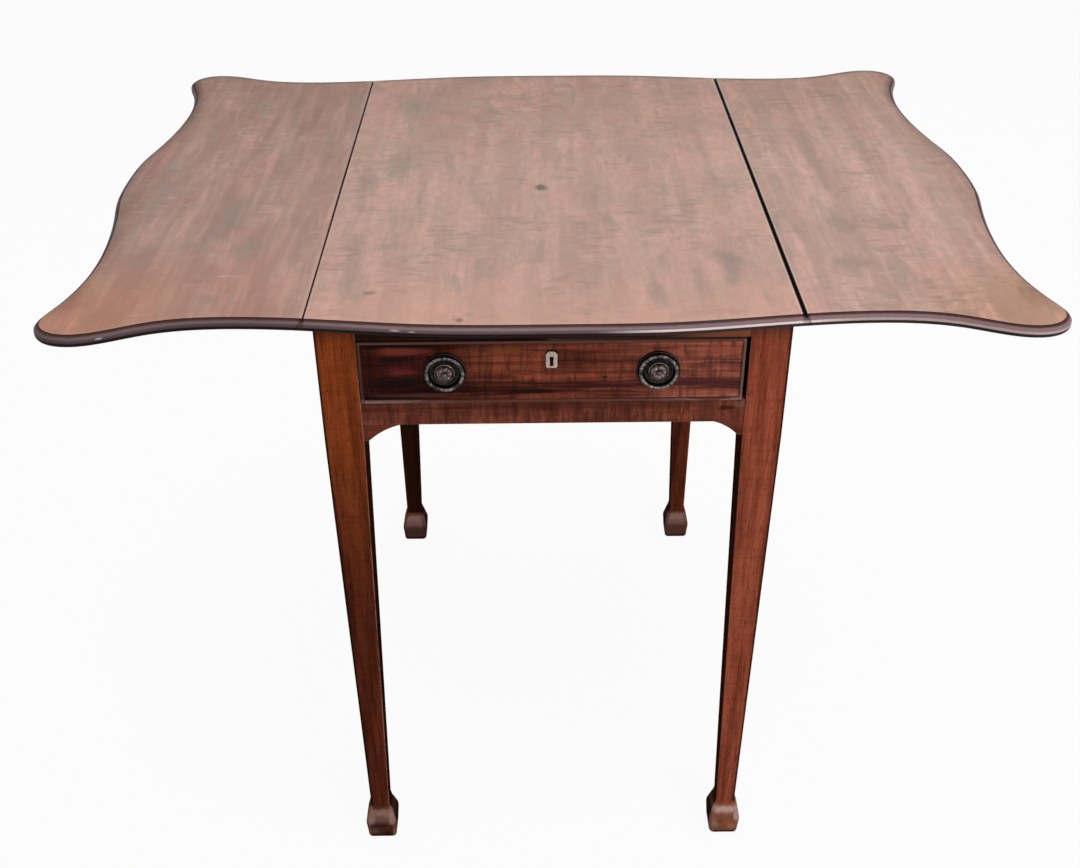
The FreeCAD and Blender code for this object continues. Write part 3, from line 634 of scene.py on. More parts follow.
class TopFinishes:
    """Colours, zones and marks of the faded top, its moulded edge and its joints."""

    MAROON: Colour = (0.036, 0.012, 0.012)
    MAUVE: Colour = (0.138, 0.088, 0.091)
    DUSKY: Colour = (0.075, 0.050, 0.055)
    GLINT: Colour = (0.700, 0.560, 0.550)
    GREY_GREEN: Colour = (0.255, 0.212, 0.178)
    PALE: Colour = (0.640, 0.500, 0.435)
    BARE: Colour = (0.050, 0.024, 0.014)
    UMBER: Colour = (0.034, 0.010, 0.005)
    BLOTCH_DEPTH = 0.05
    BLOTCH_SHARE = 0.8

    # Moulded edge from the top down: a dark line at the step; the mauve ovolo with a lighter band on it, a painted
    # highlight; darker below it in painted shade; lighter towards the right in painted light and darker towards
    # the left in painted shade; a painted glint low on the right half; a black band at the bottom in painted
    # shade; then the bare underside.
    MOULDING = (
        Zone(((Axis.Z, 0.71985, 0.71955),), MAROON, 0.94),
        Zone(((Axis.Z, 0.71850, 0.71800),), MAUVE, 0.95, 0.0003),
        Zone(((Axis.Z, 0.71800, 0.71740), (Axis.Z, 0.71560, 0.71660)), (0.250, 0.168, 0.172), 0.55, 0.0012),
        Zone(((Axis.Z, 0.71640, 0.71400),), DUSKY, 0.75, 0.0008),
        Zone(((Axis.Z, 0.71830, 0.71780), (Axis.X, 0.10, 0.24)), (0.205, 0.122, 0.126), 0.80, 0.0006),
        Zone(((Axis.Z, 0.71850, 0.71800), (Axis.X, -0.15, -0.30)), (0.68, 0.68, 0.72), 1.0, 0.0, Blend.TINT),
        Zone(((Axis.Z, 0.71580, 0.71480), (Axis.X, 0.03, 0.10), (Axis.X, 0.280, 0.225)), GLINT, 0.86, 0.0008),
        Zone(((Axis.Z, 0.71600, 0.71480), (Axis.X, 0.220, 0.275)), GLINT, 0.34, 0.0014),
        Zone(((Axis.Z, 0.71345, 0.71265),), BLACK, 0.97, 0.0003),
        Zone(((Axis.Z, 0.70925, 0.70905),), BARE, 0.92),
    )
    # Tone across the boards: darker towards the rear, warmer at the front and the ears, lighter at the front of
    # the left leaf; the darker bands along the front ears, the curved sides and the rear edge are painted shade.
    FADING_AND_EDGE_SHADE = (
        Zone(((Axis.Y, -0.02, 0.34),), (0.87, 0.83, 0.79), 1.0, 0.05, Blend.TINT),
        Zone(((Axis.FROM_MIDDLE, 0.30, 0.44), (Axis.Y, -0.19, -0.31)), (1.00, 0.93, 0.80), 1.0, 0.06,
             Blend.TINT),
        Zone(((Axis.Y, -0.21, -0.34), (Axis.FROM_MIDDLE, 0.26, 0.20)), (0.640, 0.345, 0.265), 0.32, 0.06),
        Zone(((Axis.X, -0.23, -0.26), (Axis.Y, -0.16, -0.30)), (1.15, 1.02, 0.98), 0.9, 0.04, Blend.TINT),
        Zone(((Axis.X, 0.30, 0.40), (Axis.Y, -0.20, -0.32)), (0.98, 0.93, 0.92), 0.9, 0.04, Blend.TINT),
        Zone(((Axis.FROM_MIDDLE, 0.420, 0.449), (Axis.Y, -0.345, -0.290)), (0.88, 0.80, 0.78), 1.0, 0.03,
             Blend.TINT),
        Zone(((Axis.FROM_MIDDLE, 0.415, 0.447), (Axis.Y, -0.06, -0.18), (Axis.Y, -0.340, -0.300)),
             (0.80, 0.81, 0.82), 1.0, 0.03, Blend.TINT),
        Zone(((Axis.Y, 0.322, 0.350),), (0.90, 0.92, 0.92), 1.0, 0.02, Blend.TINT),
        Zone(((Axis.FROM_MIDDLE, 0.440, 0.456), (Axis.Y, -0.345, -0.310)), (0.86, 0.96, 1.00), 1.0, 0.02,
             Blend.TINT),
    )
    INSIDE = (Axis.Y, -0.340, -0.332)
    ON_TOP = (Axis.Z, 0.7190, 0.7196)
    IN_JOINT = (Axis.Z, 0.7194, 0.7188)
    BED_RIGHT = (Axis.X, 0.2224, 0.2230)
    BED_LEFT = (Axis.X, -0.2228, -0.2234)
    JOINTS = {
        "top_board": (Zone(((Axis.X, 0.2204, 0.2214), ON_TOP), PALE, 0.34, 0.0008),
                      Zone((BED_RIGHT, INSIDE), BLACK), Zone((BED_RIGHT, ON_TOP), BLACK),
                      Zone(((Axis.X, -0.2210, -0.2218), ON_TOP), PALE, 0.20, 0.0008),
                      Zone((BED_LEFT, INSIDE), UMBER, 0.95), Zone((BED_LEFT, ON_TOP), UMBER, 0.95)),
        "leaf_left": (Zone(((Axis.X, -0.2290, -0.2275), ON_TOP), PALE, 0.14, 0.0008),
                      Zone(((Axis.X, -0.2258, -0.2252), (Axis.Y, -0.24, -0.02)), UMBER, 0.85),
                      Zone(((Axis.X, -0.2290, -0.2262), IN_JOINT, INSIDE), UMBER, 0.95)),
        "leaf_right": (Zone(((Axis.X, 0.2290, 0.2279), ON_TOP), PALE, 0.45, 0.0008),
                       Zone(((Axis.X, 0.2273, 0.2268),), BLACK),
                       Zone(((Axis.X, 0.2300, 0.2275), IN_JOINT, INSIDE), BLACK, 0.95)),
    }

    @classmethod
    def top(cls, node: str, seed: float, pale: Colour, deep: Colour, streaky: float, mottled: float,
            spots: Tuple[Spot, ...]) -> FadedTop:
        """One board of the faded top.

        Args:
            node: The board's CAD node.
            seed: Shift of the figure, so that no two boards match.
            pale: Colour of the pale wood.
            deep: Colour of the dark wood.
            streaky: Strength of the streaks along the board.
            mottled: Strength of the patches of other colours.
            spots: Marks on the board.

        Returns:
            The finish.
        """
        return FadedTop("faded_" + node, pale, deep, Grain.DEEP, seed, pores=0.10, pore=(0.20, 0.13, 0.105),
                        worn=(0.62, 0.46, 0.39), wear=0.70, patchy=0.6, roughness=0.46, smears=0.12, mirror=0.06,
                        relief=0.10, zones=cls.FADING_AND_EDGE_SHADE + cls.MOULDING + cls.JOINTS[node], spots=spots,
                        streaky=streaky, mottled=mottled)

    @classmethod
    def blotch(cls, x: float, y: float, wide: float, deep: float, share: float) -> Spot:
        """Grey-green mark on the top, long in the grain."""
        return Spot((x, y, TOP_LEVEL), (wide, deep, cls.BLOTCH_DEPTH), cls.GREY_GREEN, share * cls.BLOTCH_SHARE)


def object_of(mesh_name: str, built: bmesh.types.BMesh, smooth: float = SMOOTH_UNDER) -> bpy.types.Object:
    """Turns a built mesh into an object, shaded smooth up to an angle.

    Args:
        mesh_name: Name of the object and its mesh.
        built: The mesh in the making, which is freed.
        smooth: Edges sharper than this many degrees stay sharp.

    Returns:
        The object, in the scene.
    """
    mesh = bpy.data.meshes.new(mesh_name)
    built.to_mesh(mesh)
    built.free()
    mesh.polygons.foreach_set("use_smooth", [True] * len(mesh.polygons))
    mesh.set_sharp_from_angle(angle=math.radians(smooth))
    piece = bpy.data.objects.new(mesh_name, mesh)
    bpy.context.scene.collection.objects.link(piece)
    return piece


def settle(piece: bpy.types.Object, body: str, slot: str, finish: bpy.types.Material, *nodes: str) -> None:
    """Gives a finished piece its material and its body, and hides the CAD nodes that it stands for.

    Args:
        piece: The piece.
        body: The body that it rides on.
        slot: Not used.
        finish: Its material; a piece that already has materials keeps them.
        *nodes: CAD nodes that it replaces.
    """
    if not piece.data.materials:
        piece.data.materials.append(finish)
    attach(piece, body)
    if nodes:
        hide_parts(*nodes)
    log.info("%s rides on %s", piece.name, body)


def paint(node: str, finish: bpy.types.Material) -> None:
    """Gives a CAD node that stays in view its material.

    Args:
        node: The CAD node.
        finish: Its material.
    """
    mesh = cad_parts[node].data
    mesh.materials.clear()
    mesh.materials.append(finish)
    log.info("%s keeps its CAD shape", node)


def merged(node: str) -> bmesh.types.BMesh:
    """Copy of a CAD node's mesh with its triangles joined and its flat faces whole.

    Args:
        node: The CAD node.

    Returns:
        The copy, with a corner mask named wear.
    """
    built = bmesh.new()
    built.from_mesh(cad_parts[node].data)
    bmesh.ops.remove_doubles(built, verts=built.verts, dist=WELD)
    bmesh.ops.dissolve_limit(built, angle_limit=math.radians(FLAT_UNDER), verts=built.verts, edges=built.edges)
    built.loops.layers.float.new("wear")
    return built


def corner_edges(built: bmesh.types.BMesh) -> List[bmesh.types.BMEdge]:
    """Outward corners of a mesh that lie on its hull, so sockets and grooves are left alone.

    Args:
        built: The mesh.

    Returns:
        The edges.
    """
    least_area, near = 0.5 * MM * MM, 0.03 * MM
    hull = bmesh.new()
    for vertex in built.verts:
        hull.verts.new(vertex.co)
    bmesh.ops.convex_hull(hull, input=hull.verts)
    planes = {}
    for face in hull.faces:
        if face.calc_area() > least_area:
            level = face.normal.dot(face.verts[0].co)
            planes[(*(round(part, 3) for part in face.normal), round(level, 5))] = (face.normal.copy(), level)
    hull.free()
    chosen = []
    for edge in built.edges:
        if len(edge.link_faces) != 2 or edge.calc_face_angle_signed(0.0) < math.radians(CORNER_FROM):
            continue
        middle = (edge.verts[0].co + edge.verts[1].co) / 2
        if any(level - normal.dot(middle) < near for normal, level in planes.values()):
            chosen.append(edge)
    return chosen


def rub(built: bmesh.types.BMesh, edges: List[bmesh.types.BMEdge], width: float, steps: int = 2) -> None:
    """Rounds edges and marks the new faces as worn.

    Args:
        built: The mesh.
        edges: Its edges to round.
        width: How far the rounding reaches, in metres.
        steps: Faces across the rounding.
    """
    wear = built.loops.layers.float["wear"]
    made = bmesh.ops.bevel(built, geom=edges, offset=width, offset_type="OFFSET", segments=steps, profile=0.5,
                           affect="EDGES", clamp_overlap=True)
    for face in made["faces"]:
        for loop in face.loops:
            loop[wear] = 1.0


def softened(node: str, width: float, smooth: float = SMOOTH_UNDER) -> bpy.types.Object:
    """Copy of a CAD node with its outward corners rubbed round.

    Args:
        node: The CAD node.
        width: Reach of the rounding in metres; none leaves the corners.
        smooth: Edges sharper than this many degrees stay sharp.

    Returns:
        The copy, named for the node.
    """
    built = merged(node)
    if width:
        rub(built, corner_edges(built), width)
    return object_of("worn_" + node, built, smooth)


def turned(name: str, profile: Sequence[Tuple[float, float]], centre: Vector, steps: int,
           lift: Optional[Callable[[float, float], float]] = None, worn_above: float = 1.0,
           smooth: float = 50.0) -> bpy.types.Object:
    """Piece turned about an axis along Y, standing out towards the front.

    Args:
        name: Name of the piece.
        profile: Radius and height of each step, in millimetres, from the outside at the back to the middle.
        centre: Where the axis meets the surface that it stands on.
        steps: Faces round the axis.
        lift: Extra height, in millimetres, by radius in millimetres and angle.
        worn_above: Height in millimetres above which it is marked as rubbed.
        smooth: Edges sharper than this many degrees stay sharp.

    Returns:
        The piece.
    """
    built = bmesh.new()
    wear = built.loops.layers.float.new("wear")
    rings = []
    for radius, height in profile:
        ring = []
        for number in range(steps if radius else 1):
            angle = 2 * math.pi * number / steps
            rise = height + (lift(radius, angle) if lift else 0.0)
            offset = Vector((radius * math.cos(angle), -rise, radius * math.sin(angle)))
            ring.append(built.verts.new(centre + offset * MM))
        rings.append(ring)
    for outer, inner in zip(rings, rings[1:]):
        for number in range(steps):
            after = (number + 1) % steps
            corners = [outer[number], outer[after]]
            corners += [inner[0]] if len(inner) == 1 else [inner[after], inner[number]]
            built.faces.new(corners)
    bmesh.ops.recalc_face_normals(built, faces=built.faces)
    for face in built.faces:
        height = (centre.y - face.calc_center_median().y) / MM
        for loop in face.loops:
            loop[wear] = 1.0 if height > worn_above else 0.0
    return object_of(name, built, smooth)


class NodeRecipe(SharedTree):
    """A Geometry Nodes tree with named inputs, made a plain mesh as soon as it is used."""

    kind = "GeometryNodeTree"
    gives = ("Geometry",)
    gives_kind = "NodeSocketGeometry"

    @classmethod
    def make(cls, piece_name: str, points: Sequence[Vector], values: Mapping[str, object]) -> bpy.types.Object:
        """Runs the tree on a few points and keeps the plain mesh.

        Args:
            piece_name: Name of the piece.
            points: Points that the tree starts from.
            values: Values of its named inputs.

        Returns:
            The piece, with no modifier left on it.
        """
        start = bpy.data.meshes.new(piece_name)
        start.from_pydata([tuple(point) for point in points], [], [])
        piece = bpy.data.objects.new(piece_name, start)
        bpy.context.scene.collection.objects.link(piece)
        modifier = piece.modifiers.new("recipe", "NODES")
        modifier.node_group = cls.tree()
        for item in modifier.node_group.interface.items_tree:
            if item.in_out == "INPUT" and item.name in values:
                modifier[item.identifier] = values[item.name]
        graph = bpy.context.evaluated_depsgraph_get()
        made = bpy.data.meshes.new_from_object(piece.evaluated_get(graph))
        piece.modifiers.clear()
        piece.data = made
        bpy.data.meshes.remove(start)
        made.name = piece_name
        return piece


class BeadedRing(NodeRecipe):
    """Ring of beads on a thin round core, hanging in an upright plane."""

    name = "beaded_ring"
    takes = (("Geometry", "NodeSocketGeometry"), ("Ring Radius", "NodeSocketFloat"),
             ("Core Radius", "NodeSocketFloat"), ("Bead Radius", "NodeSocketFloat"), ("Beads", "NodeSocketInt"),
             ("Centre", "NodeSocketVector"), ("Metal", "NodeSocketMaterial"))
    ring_steps = 96
    core_steps = 12
    bead_steps = (12, 8)

    @classmethod
    def fill(cls, graph: Graph, given: bpy.types.NodeOutputs) -> Dict[str, Socket]:
        """Builds the core and the beads.

        Args:
            graph: The tree's graph.
            given: The tree's inputs.

        Returns:
            The geometry.
        """
        circle = "GeometryNodeCurvePrimitiveCircle"
        line = graph.add(circle, {"Resolution": cls.ring_steps, "Radius": given["Ring Radius"]})
        section = graph.add(circle, {"Resolution": cls.core_steps, "Radius": given["Core Radius"]})
        core = graph.add("GeometryNodeCurveToMesh", {"Curve": line.outputs[0],
                                                     "Profile Curve": section.outputs[0]})
        seats = graph.add("GeometryNodeMeshCircle", {"Vertices": given["Beads"], "Radius": given["Ring Radius"]})
        segments, rings = cls.bead_steps
        bead = graph.add("GeometryNodeMeshUVSphere", {"Segments": segments, "Rings": rings,
                                                      "Radius": given["Bead Radius"]})
        beads = graph.add("GeometryNodeInstanceOnPoints",
                          {"Points": seats.outputs[0], "Instance": bead.outputs[0]})
        both = graph.add("GeometryNodeJoinGeometry")
        for part in (core, beads):
            graph.feed(both.inputs[0], part.outputs[0])
        turn = (math.pi / 2, 0.0, 0.0)
        upright = graph.add("GeometryNodeTransform", {"Geometry": both.outputs[0], "Rotation": turn,
                                                      "Translation": given["Centre"]})
        plain = graph.add("GeometryNodeRealizeInstances", {"Geometry": upright.outputs[0]})
        smooth = graph.add("GeometryNodeSetShadeSmooth", {"Geometry": plain.outputs[0]})
        cast = graph.add("GeometryNodeSetMaterial", {"Geometry": smooth.outputs[0], "Material": given["Metal"]})
        return {"Geometry": cast.outputs[0]}


class SlottedHeads(NodeRecipe):
    """Slotted screw heads facing down, one on each point."""

    name = "slotted_heads"
    takes = (("Geometry", "NodeSocketGeometry"), ("Head Radius", "NodeSocketFloat"),
             ("Head Height", "NodeSocketFloat"), ("Slot Width", "NodeSocketFloat"), ("Seed", "NodeSocketInt"),
             ("Metal", "NodeSocketMaterial"))
    head_steps = 24
    slot_reach = 3.0
    slot_depth = 0.5

    @classmethod
    def fill(cls, graph: Graph, given: bpy.types.NodeOutputs) -> Dict[str, Socket]:
        """Builds one head and sets it on each point with its slot at any angle.

        Args:
            graph: The tree's graph.
            given: The tree's inputs.

        Returns:
            The geometry.
        """
        disc = graph.add("GeometryNodeMeshCylinder", {"Vertices": cls.head_steps, "Radius": given["Head Radius"],
                                                      "Depth": given["Head Height"]})
        long = graph.math("MULTIPLY", given["Head Radius"], cls.slot_reach)
        size = graph.add("ShaderNodeCombineXYZ", {0: long, 1: given["Slot Width"], 2: given["Head Height"]})
        bar = graph.add("GeometryNodeMeshCube", {"Size": size.outputs[0]})
        sunk = graph.math("MULTIPLY", given["Head Height"], -cls.slot_depth)
        drop = graph.add("ShaderNodeCombineXYZ", {2: sunk})
        bar = graph.add("GeometryNodeTransform", {"Geometry": bar.outputs[0], "Translation": drop.outputs[0]})
        head = graph.add("GeometryNodeMeshBoolean", operation="DIFFERENCE")
        graph.feed(head.inputs[0], disc.outputs[0])
        graph.feed(head.inputs[1], bar.outputs[0])
        angle = graph.add("FunctionNodeRandomValue", data_type="FLOAT_VECTOR")
        graph.feed(angle.inputs[0], (0.0, 0.0, 0.0))
        graph.feed(angle.inputs[1], (0.0, 0.0, math.pi))
        graph.feed(angle.inputs["Seed"], given["Seed"])
        heads = graph.add("GeometryNodeInstanceOnPoints", {"Points": given["Geometry"],
                                                           "Instance": head.outputs[0],
                                                           "Rotation": angle.outputs[0]})
        heads = graph.add("GeometryNodeRealizeInstances", {"Geometry": heads.outputs[0]})
        heads = graph.add("GeometryNodeSetMaterial", {"Geometry": heads.outputs[0], "Material": given["Metal"]})
        return {"Geometry": heads.outputs[0]}


@dataclass
class TableTop:
    """The bed and its two drop leaves."""

    arris: float = 0.45 * MM
    level: float = TOP_LEVEL
    joint: Tuple[float, float] = (0.2235, 0.2262)
    rim_width: float = 9.0 * MM
    rim_from: float = -0.30
    rim_full: float = 0.32
    smooth_under: float = 32.0
    boards: Dict[str, WoodFinish] = field(default_factory=dict)

    def __post_init__(self) -> None:
        """Chooses the finish of each board."""
        blotch = TopFinishes.blotch
        chip = (0.400, 0.300, 0.280)
        bed_marks = (
            Spot((-0.008, -0.037, TOP_LEVEL), (0.009, 0.011, 0.05), (0.150, 0.128, 0.105), 0.90),
            Spot((-0.169, -0.283, TOP_LEVEL), (0.009, 0.007, 0.05), (0.180, 0.140, 0.110), 0.7),
            Spot((-0.084, -0.338, TOP_LEVEL), (0.005, 0.006, 0.05), (0.150, 0.090, 0.065), 0.7),
            blotch(-0.159, 0.235, 0.034, 0.075, 0.60), blotch(-0.166, 0.033, 0.024, 0.085, 0.55),
            blotch(-0.193, -0.010, 0.015, 0.060, 0.65), blotch(-0.192, -0.217, 0.013, 0.100, 0.55),
            blotch(-0.156, -0.181, 0.022, 0.012, 0.45), blotch(0.171, -0.231, 0.016, 0.055, 0.75),
            blotch(0.096, -0.287, 0.013, 0.035, 0.60), blotch(0.138, -0.263, 0.010, 0.060, 0.45),
            blotch(-0.056, 0.259, 0.060, 0.020, 0.45), blotch(0.030, 0.215, 0.022, 0.085, 0.30),
            Spot((-0.1404, -0.3465, 0.7150), (0.0070, 0.008, 0.0012), chip, 0.9),
            Spot((-0.1263, -0.3480, 0.7143), (0.0050, 0.008, 0.0010), chip, 0.8),
        )
        left_marks = (
            blotch(-0.326, -0.102, 0.017, 0.070, 0.60), blotch(-0.300, -0.183, 0.018, 0.040, 0.70),
            blotch(-0.348, -0.175, 0.024, 0.030, 0.40), blotch(-0.417, -0.047, 0.016, 0.100, 0.40),
            blotch(-0.300, 0.070, 0.014, 0.120, 0.40), blotch(-0.255, 0.120, 0.010, 0.110, 0.35),
            Spot((-0.4000, -0.3530, 0.7150), (0.0040, 0.010, 0.0012), chip, 0.8),
        )
        right_marks = (
            blotch(0.294, -0.136, 0.022, 0.035, 0.60), blotch(0.287, -0.227, 0.024, 0.030, 0.60),
            blotch(0.339, -0.135, 0.022, 0.030, 0.50), blotch(0.300, 0.060, 0.014, 0.140, 0.50),
            blotch(0.361, 0.099, 0.012, 0.080, 0.45), blotch(0.262, 0.140, 0.012, 0.120, 0.40),
        )
        # The left leaf is coloured darker than the right one, partly its own colour and partly painted shade.
        looks = (("top_board", 0.0, (0.615, 0.376, 0.314), (0.445, 0.272, 0.222), 0.32, 0.58, bed_marks),
                 ("leaf_left", 3.1, (0.485, 0.276, 0.229), (0.322, 0.186, 0.152), 0.62, 0.36, left_marks),
                 ("leaf_right", 7.7, (0.655, 0.400, 0.338), (0.430, 0.264, 0.216), 0.50, 0.50, right_marks))
        self.boards = {look[0]: TopFinishes.top(*look) for look in looks}

    def board(self, node: str) -> bpy.types.Object:
        """One board with its top corner rubbed and worn pale, and a band along its outline marked for painted
        shade.

        Args:
            node: The CAD node.

        Returns:
            The board.
        """
        built = merged(node)
        edges = []
        for edge in built.edges:
            if all(abs(v.co.z - self.level) < NEAR for v in edge.verts) and len(edge.link_faces) == 2:
                if edge.calc_face_angle_signed(0.0) > math.radians(CORNER_FROM):
                    edges.append(edge)
        rub(built, edges, self.arris)
        wear = built.loops.layers.float["wear"]
        for face in built.faces:
            for loop in face.loops:
                if self.at_joint(loop.vert):
                    loop[wear] = 0.0
        self.mark_rim(built)
        return object_of("worn_" + node, built, self.smooth_under)

    def at_joint(self, vertex: bmesh.types.BMVert) -> bool:
        """Whether a vertex lies along a rule joint."""
        return self.joint[0] < abs(vertex.co.x) < self.joint[1]

    def mark_rim(self, built: bmesh.types.BMesh) -> None:
        """Marks a band along the outline of a board's top face for painted shade, strongest at the rear and none
        along the joints.

        Args:
            built: The board.
        """
        def spot(vertex: bmesh.types.BMVert) -> Point:
            """Place of a vertex, rounded so that places can be compared."""
            return tuple(round(part, 6) for part in vertex.co)

        rim = built.loops.layers.float.new("rim")
        top = max((face for face in built.faces if face.normal.z > 0.99), key=lambda face: face.calc_area())
        outline = {spot(loop.vert) for loop in top.loops}
        made = bmesh.ops.inset_region(built, faces=[top], thickness=self.rim_width, use_even_offset=True,
                                      use_boundary=True)
        for face in made["faces"]:
            for loop in face.loops:
                if spot(loop.vert) in outline and not self.at_joint(loop.vert):
                    share = (loop.vert.co.y - self.rim_from) / (self.rim_full - self.rim_from)
                    loop[rim] = min(1.0, max(0.0, share)) ** 2

    def build(self) -> None:
        """Builds and dresses the three boards."""
        for node, finish in self.boards.items():
            body = "frame" if node == "top_board" else node
            settle(self.board(node), body, "top_mahogany", finish.material(), node)


@dataclass
class RuleHinges:
    """Brass hinges under the rule joints, with their pins and screws."""

    head_radius: float = 2.6 * MM
    head_height: float = 0.5 * MM
    slot_width: float = 0.7 * MM
    seed: int = 11

    def heads(self, node: str) -> List[Vector]:
        """Middle of each screw head of a node.

        Args:
            node: The CAD node that holds the screws.

        Returns:
            One point for each screw, at the level of its head.
        """
        built = merged(node)
        points = [face.calc_center_bounds() for face in built.faces if face.normal.z < -0.99]
        built.free()
        return sorted(points, key=tuple)

    def build(self) -> None:
        """Builds and dresses the hinges."""
        brass = MetalFinish("hinge_brass", (0.50, 0.36, 0.15), (0.13, 0.085, 0.040), 0.62, 0.32, 0.62).material()
        steel = MetalFinish("dull_steel", (0.36, 0.35, 0.34), (0.11, 0.075, 0.055), 0.45, 0.34, 0.60).material()
        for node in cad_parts:
            if node.startswith(("hinge_bed_flap", "hinge_leaf_flap")):
                paint(node, brass)
        for node in ("hinge_pins", "hinge_screws_bed", "hinge_screws_leaf_left", "hinge_screws_leaf_right",
                     "top_fixing_screws", "fly_pin_left", "fly_pin_right", "handle_nuts", "lock_bolt"):
            paint(node, steel)
        screws = (("hinge_screws_bed", "frame"), ("hinge_screws_leaf_left", "leaf_left"),
                  ("hinge_screws_leaf_right", "leaf_right"), ("top_fixing_screws", "frame"))
        for node, body in screws:
            heads = SlottedHeads.make("slotted_" + node, self.heads(node), {
                "Head Radius": self.head_radius, "Head Height": self.head_height, "Slot Width": self.slot_width,
                "Seed": self.seed, "Metal": steel})
            settle(heads, body, "steel", steel)


@dataclass
class Underframe:
    """Legs, rails and corner pieces, with what guides the drawer."""

    half: Tuple[float, float] = (0.2205, 0.311353)
    taper: Tuple[float, float] = (5.0 * MM, 8.5 * MM)
    head: float = 38.0 * MM
    under: float = TOP_UNDERSIDE
    head_end: float = 2.0 * MM
    taper_from: float = 0.5732
    ankle: Tuple[float, float] = (21.4 * MM, 54.0 * MM)
    neck: Tuple[float, float] = (27.0 * MM, 47.0 * MM)
    swell: Tuple[float, float] = (36.6 * MM, 28.0 * MM)
    base: Tuple[float, float] = (33.0 * MM, 4.5 * MM)
    base_tuck: float = 3.0 * MM
    foot_turn: float = 2.0 * MM
    arris: float = 0.9 * MM
    ankle_round: float = 1.2
    foot_arris: float = 4.2 * MM
    rail_arris: float = 0.6 * MM
    chip_cells: float = 45.0
    chip_depth: float = 0.45
    chip_shift: Point = (7.3, 3.1, 5.7)
    short_step: float = 2.4 * MM
    strip: float = 2.6 * MM
    # Shares of painted shade: on each leg's inner faces, and on the rear-left leg's face towards the middle line.
    inner_shade: float = 0.9
    dark_corner: float = 0.92
    rings: int = 26
    corner_steps: int = 3
    smooth_under: float = 30.0

    def sections(self) -> List[Tuple[float, float, float, float]]:
        """Sections of a leg from the top down.

        Returns:
            Side, height, corner radius and share of the taper of each section.
        """
        rows = [(self.head, self.under, self.arris, 0.0),
                (self.head, self.taper_from + self.head_end, self.arris, 0.0)]
        ankle_side, ankle_z = self.ankle
        for number in range(1, self.rings):
            share = number / self.rings
            rows.append((self.head + (ankle_side - self.head) * share,
                         self.taper_from + (ankle_z - self.taper_from) * share, self.arris, share))
        below = (self.base[0] - self.base_tuck, self.base[1])
        corners = (self.ankle, self.neck, self.swell, self.base, below)
        before = rows[-1][:2]
        for number, ((side, height), after) in enumerate(zip(corners, corners[1:])):
            radius = self.foot_arris if number else self.arris * self.ankle_round
            for other in (before, after):
                step = Vector((other[0] - side, other[1] - height))
                step = step.normalized() * min(self.foot_turn, step.length / 3)
                rows.append((side + step.x, height + step.y, radius, 1.0))
            before = (side, height)
        return rows

    def middle(self, share: float, height: float) -> Vector:
        """Middle of a section of the leg at the right rear.

        Args:
            share: How far down the taper the section lies.
            height: Its height.

        Returns:
            The middle.
        """
        ends = []
        for half, taper in zip(self.half, self.taper):
            ends.append((half - self.head / 2, half - taper - self.ankle[0] / 2))
        return Vector((*(head + (ankle - head) * share for head, ankle in ends), height))

    def leg(self, name: str, side_x: int, side_y: int, under_shade: float = 0.0) -> bpy.types.Object:
        """One leg: square head, tapered most on its inner faces, spade foot, with rubbed corners.

        The outermost corner is marked for painted shade instead, with a strip on both faces beside it, and so is
        the face towards the other side of the table.

        Args:
            name: Name of the piece.
            side_x: 1 on the right, -1 on the left.
            side_y: 1 at the rear, -1 at the front.
            under_shade: Share of painted shade above the foot on the face towards the table's middle line.

        Returns:
            The leg.
        """
        built = bmesh.new()
        wear = built.loops.layers.float.new("wear")
        painted_shade = built.loops.layers.float.new("painted_shade")
        by_corner, by_side, by_end = self.chip_shift
        rings = []
        for side, height, radius, share in self.sections():
            middle = self.middle(share, height)
            ring = []
            for corner, (sx, sy) in enumerate(((1, 1), (-1, 1), (-1, -1), (1, -1))):
                chip = noise.noise(Vector((height * self.chip_cells, corner * by_corner + side_x * by_side,
                                           side_y * by_end)))
                r = radius * (1.0 + self.chip_depth * chip)
                hub = middle + Vector((sx * (side / 2 - r), sy * (side / 2 - r), 0.0))
                angles = [math.pi / 2 * (corner + step / self.corner_steps)
                          for step in range(self.corner_steps + 1)]
                arc = [hub + Vector((math.cos(angle), math.sin(angle), 0.0)) * r for angle in angles]
                back = Vector((math.sin(angles[0]), -math.cos(angles[0]), 0.0)) * self.strip
                on = Vector((-math.sin(angles[-1]), math.cos(angles[-1]), 0.0)) * self.strip
                for spot in [arc[0] + back] + arc + [arc[-1] + on]:
                    ring.append(built.verts.new((spot.x * side_x, spot.y * side_y, spot.z)))
            rings.append((ring, height))
        around = len(rings[0][0])
        each = around // 4
        for (upper, upper_z), (lower, lower_z) in zip(rings, rings[1:]):
            short = abs(upper_z - lower_z) < self.short_step and upper_z < self.ankle[1] + self.foot_turn
            for number in range(around):
                after = (number + 1) % around
                face = built.faces.new((upper[number], upper[after], lower[after], lower[number]))
                place = number % each
                on_corner = 0 < place < each - 2
                outermost = number < each and upper_z > self.ankle[1]
                inward = 2 * each - 2 <= number <= 2 * each
                middling = 2 * each < number <= 3 * each and upper_z > self.ankle[1]
                for loop, at in zip(face.loops, (number, after, after, number)):
                    # Rubbed corners; along the turns of the foot they are partly a painted highlight.
                    loop[wear] = 1.0 if (short and not inward) or (on_corner and not outermost) else 0.0
                    # Painted shade along the outermost corner and on the inner faces, and on the face towards the
                    # middle line where a share is given.
                    loop[painted_shade] = 1.0 if outermost and place < each - 1 and 0 < at % each < each - 1 else 0.0
                    if inward:
                        loop[painted_shade] = self.inner_shade
                    elif middling:
                        loop[painted_shade] = max(loop[painted_shade], under_shade)
        built.faces.new(rings[0][0])
        built.faces.new(rings[-1][0])
        bmesh.ops.recalc_face_normals(built, faces=built.faces)
        return object_of(name, built, self.smooth_under)

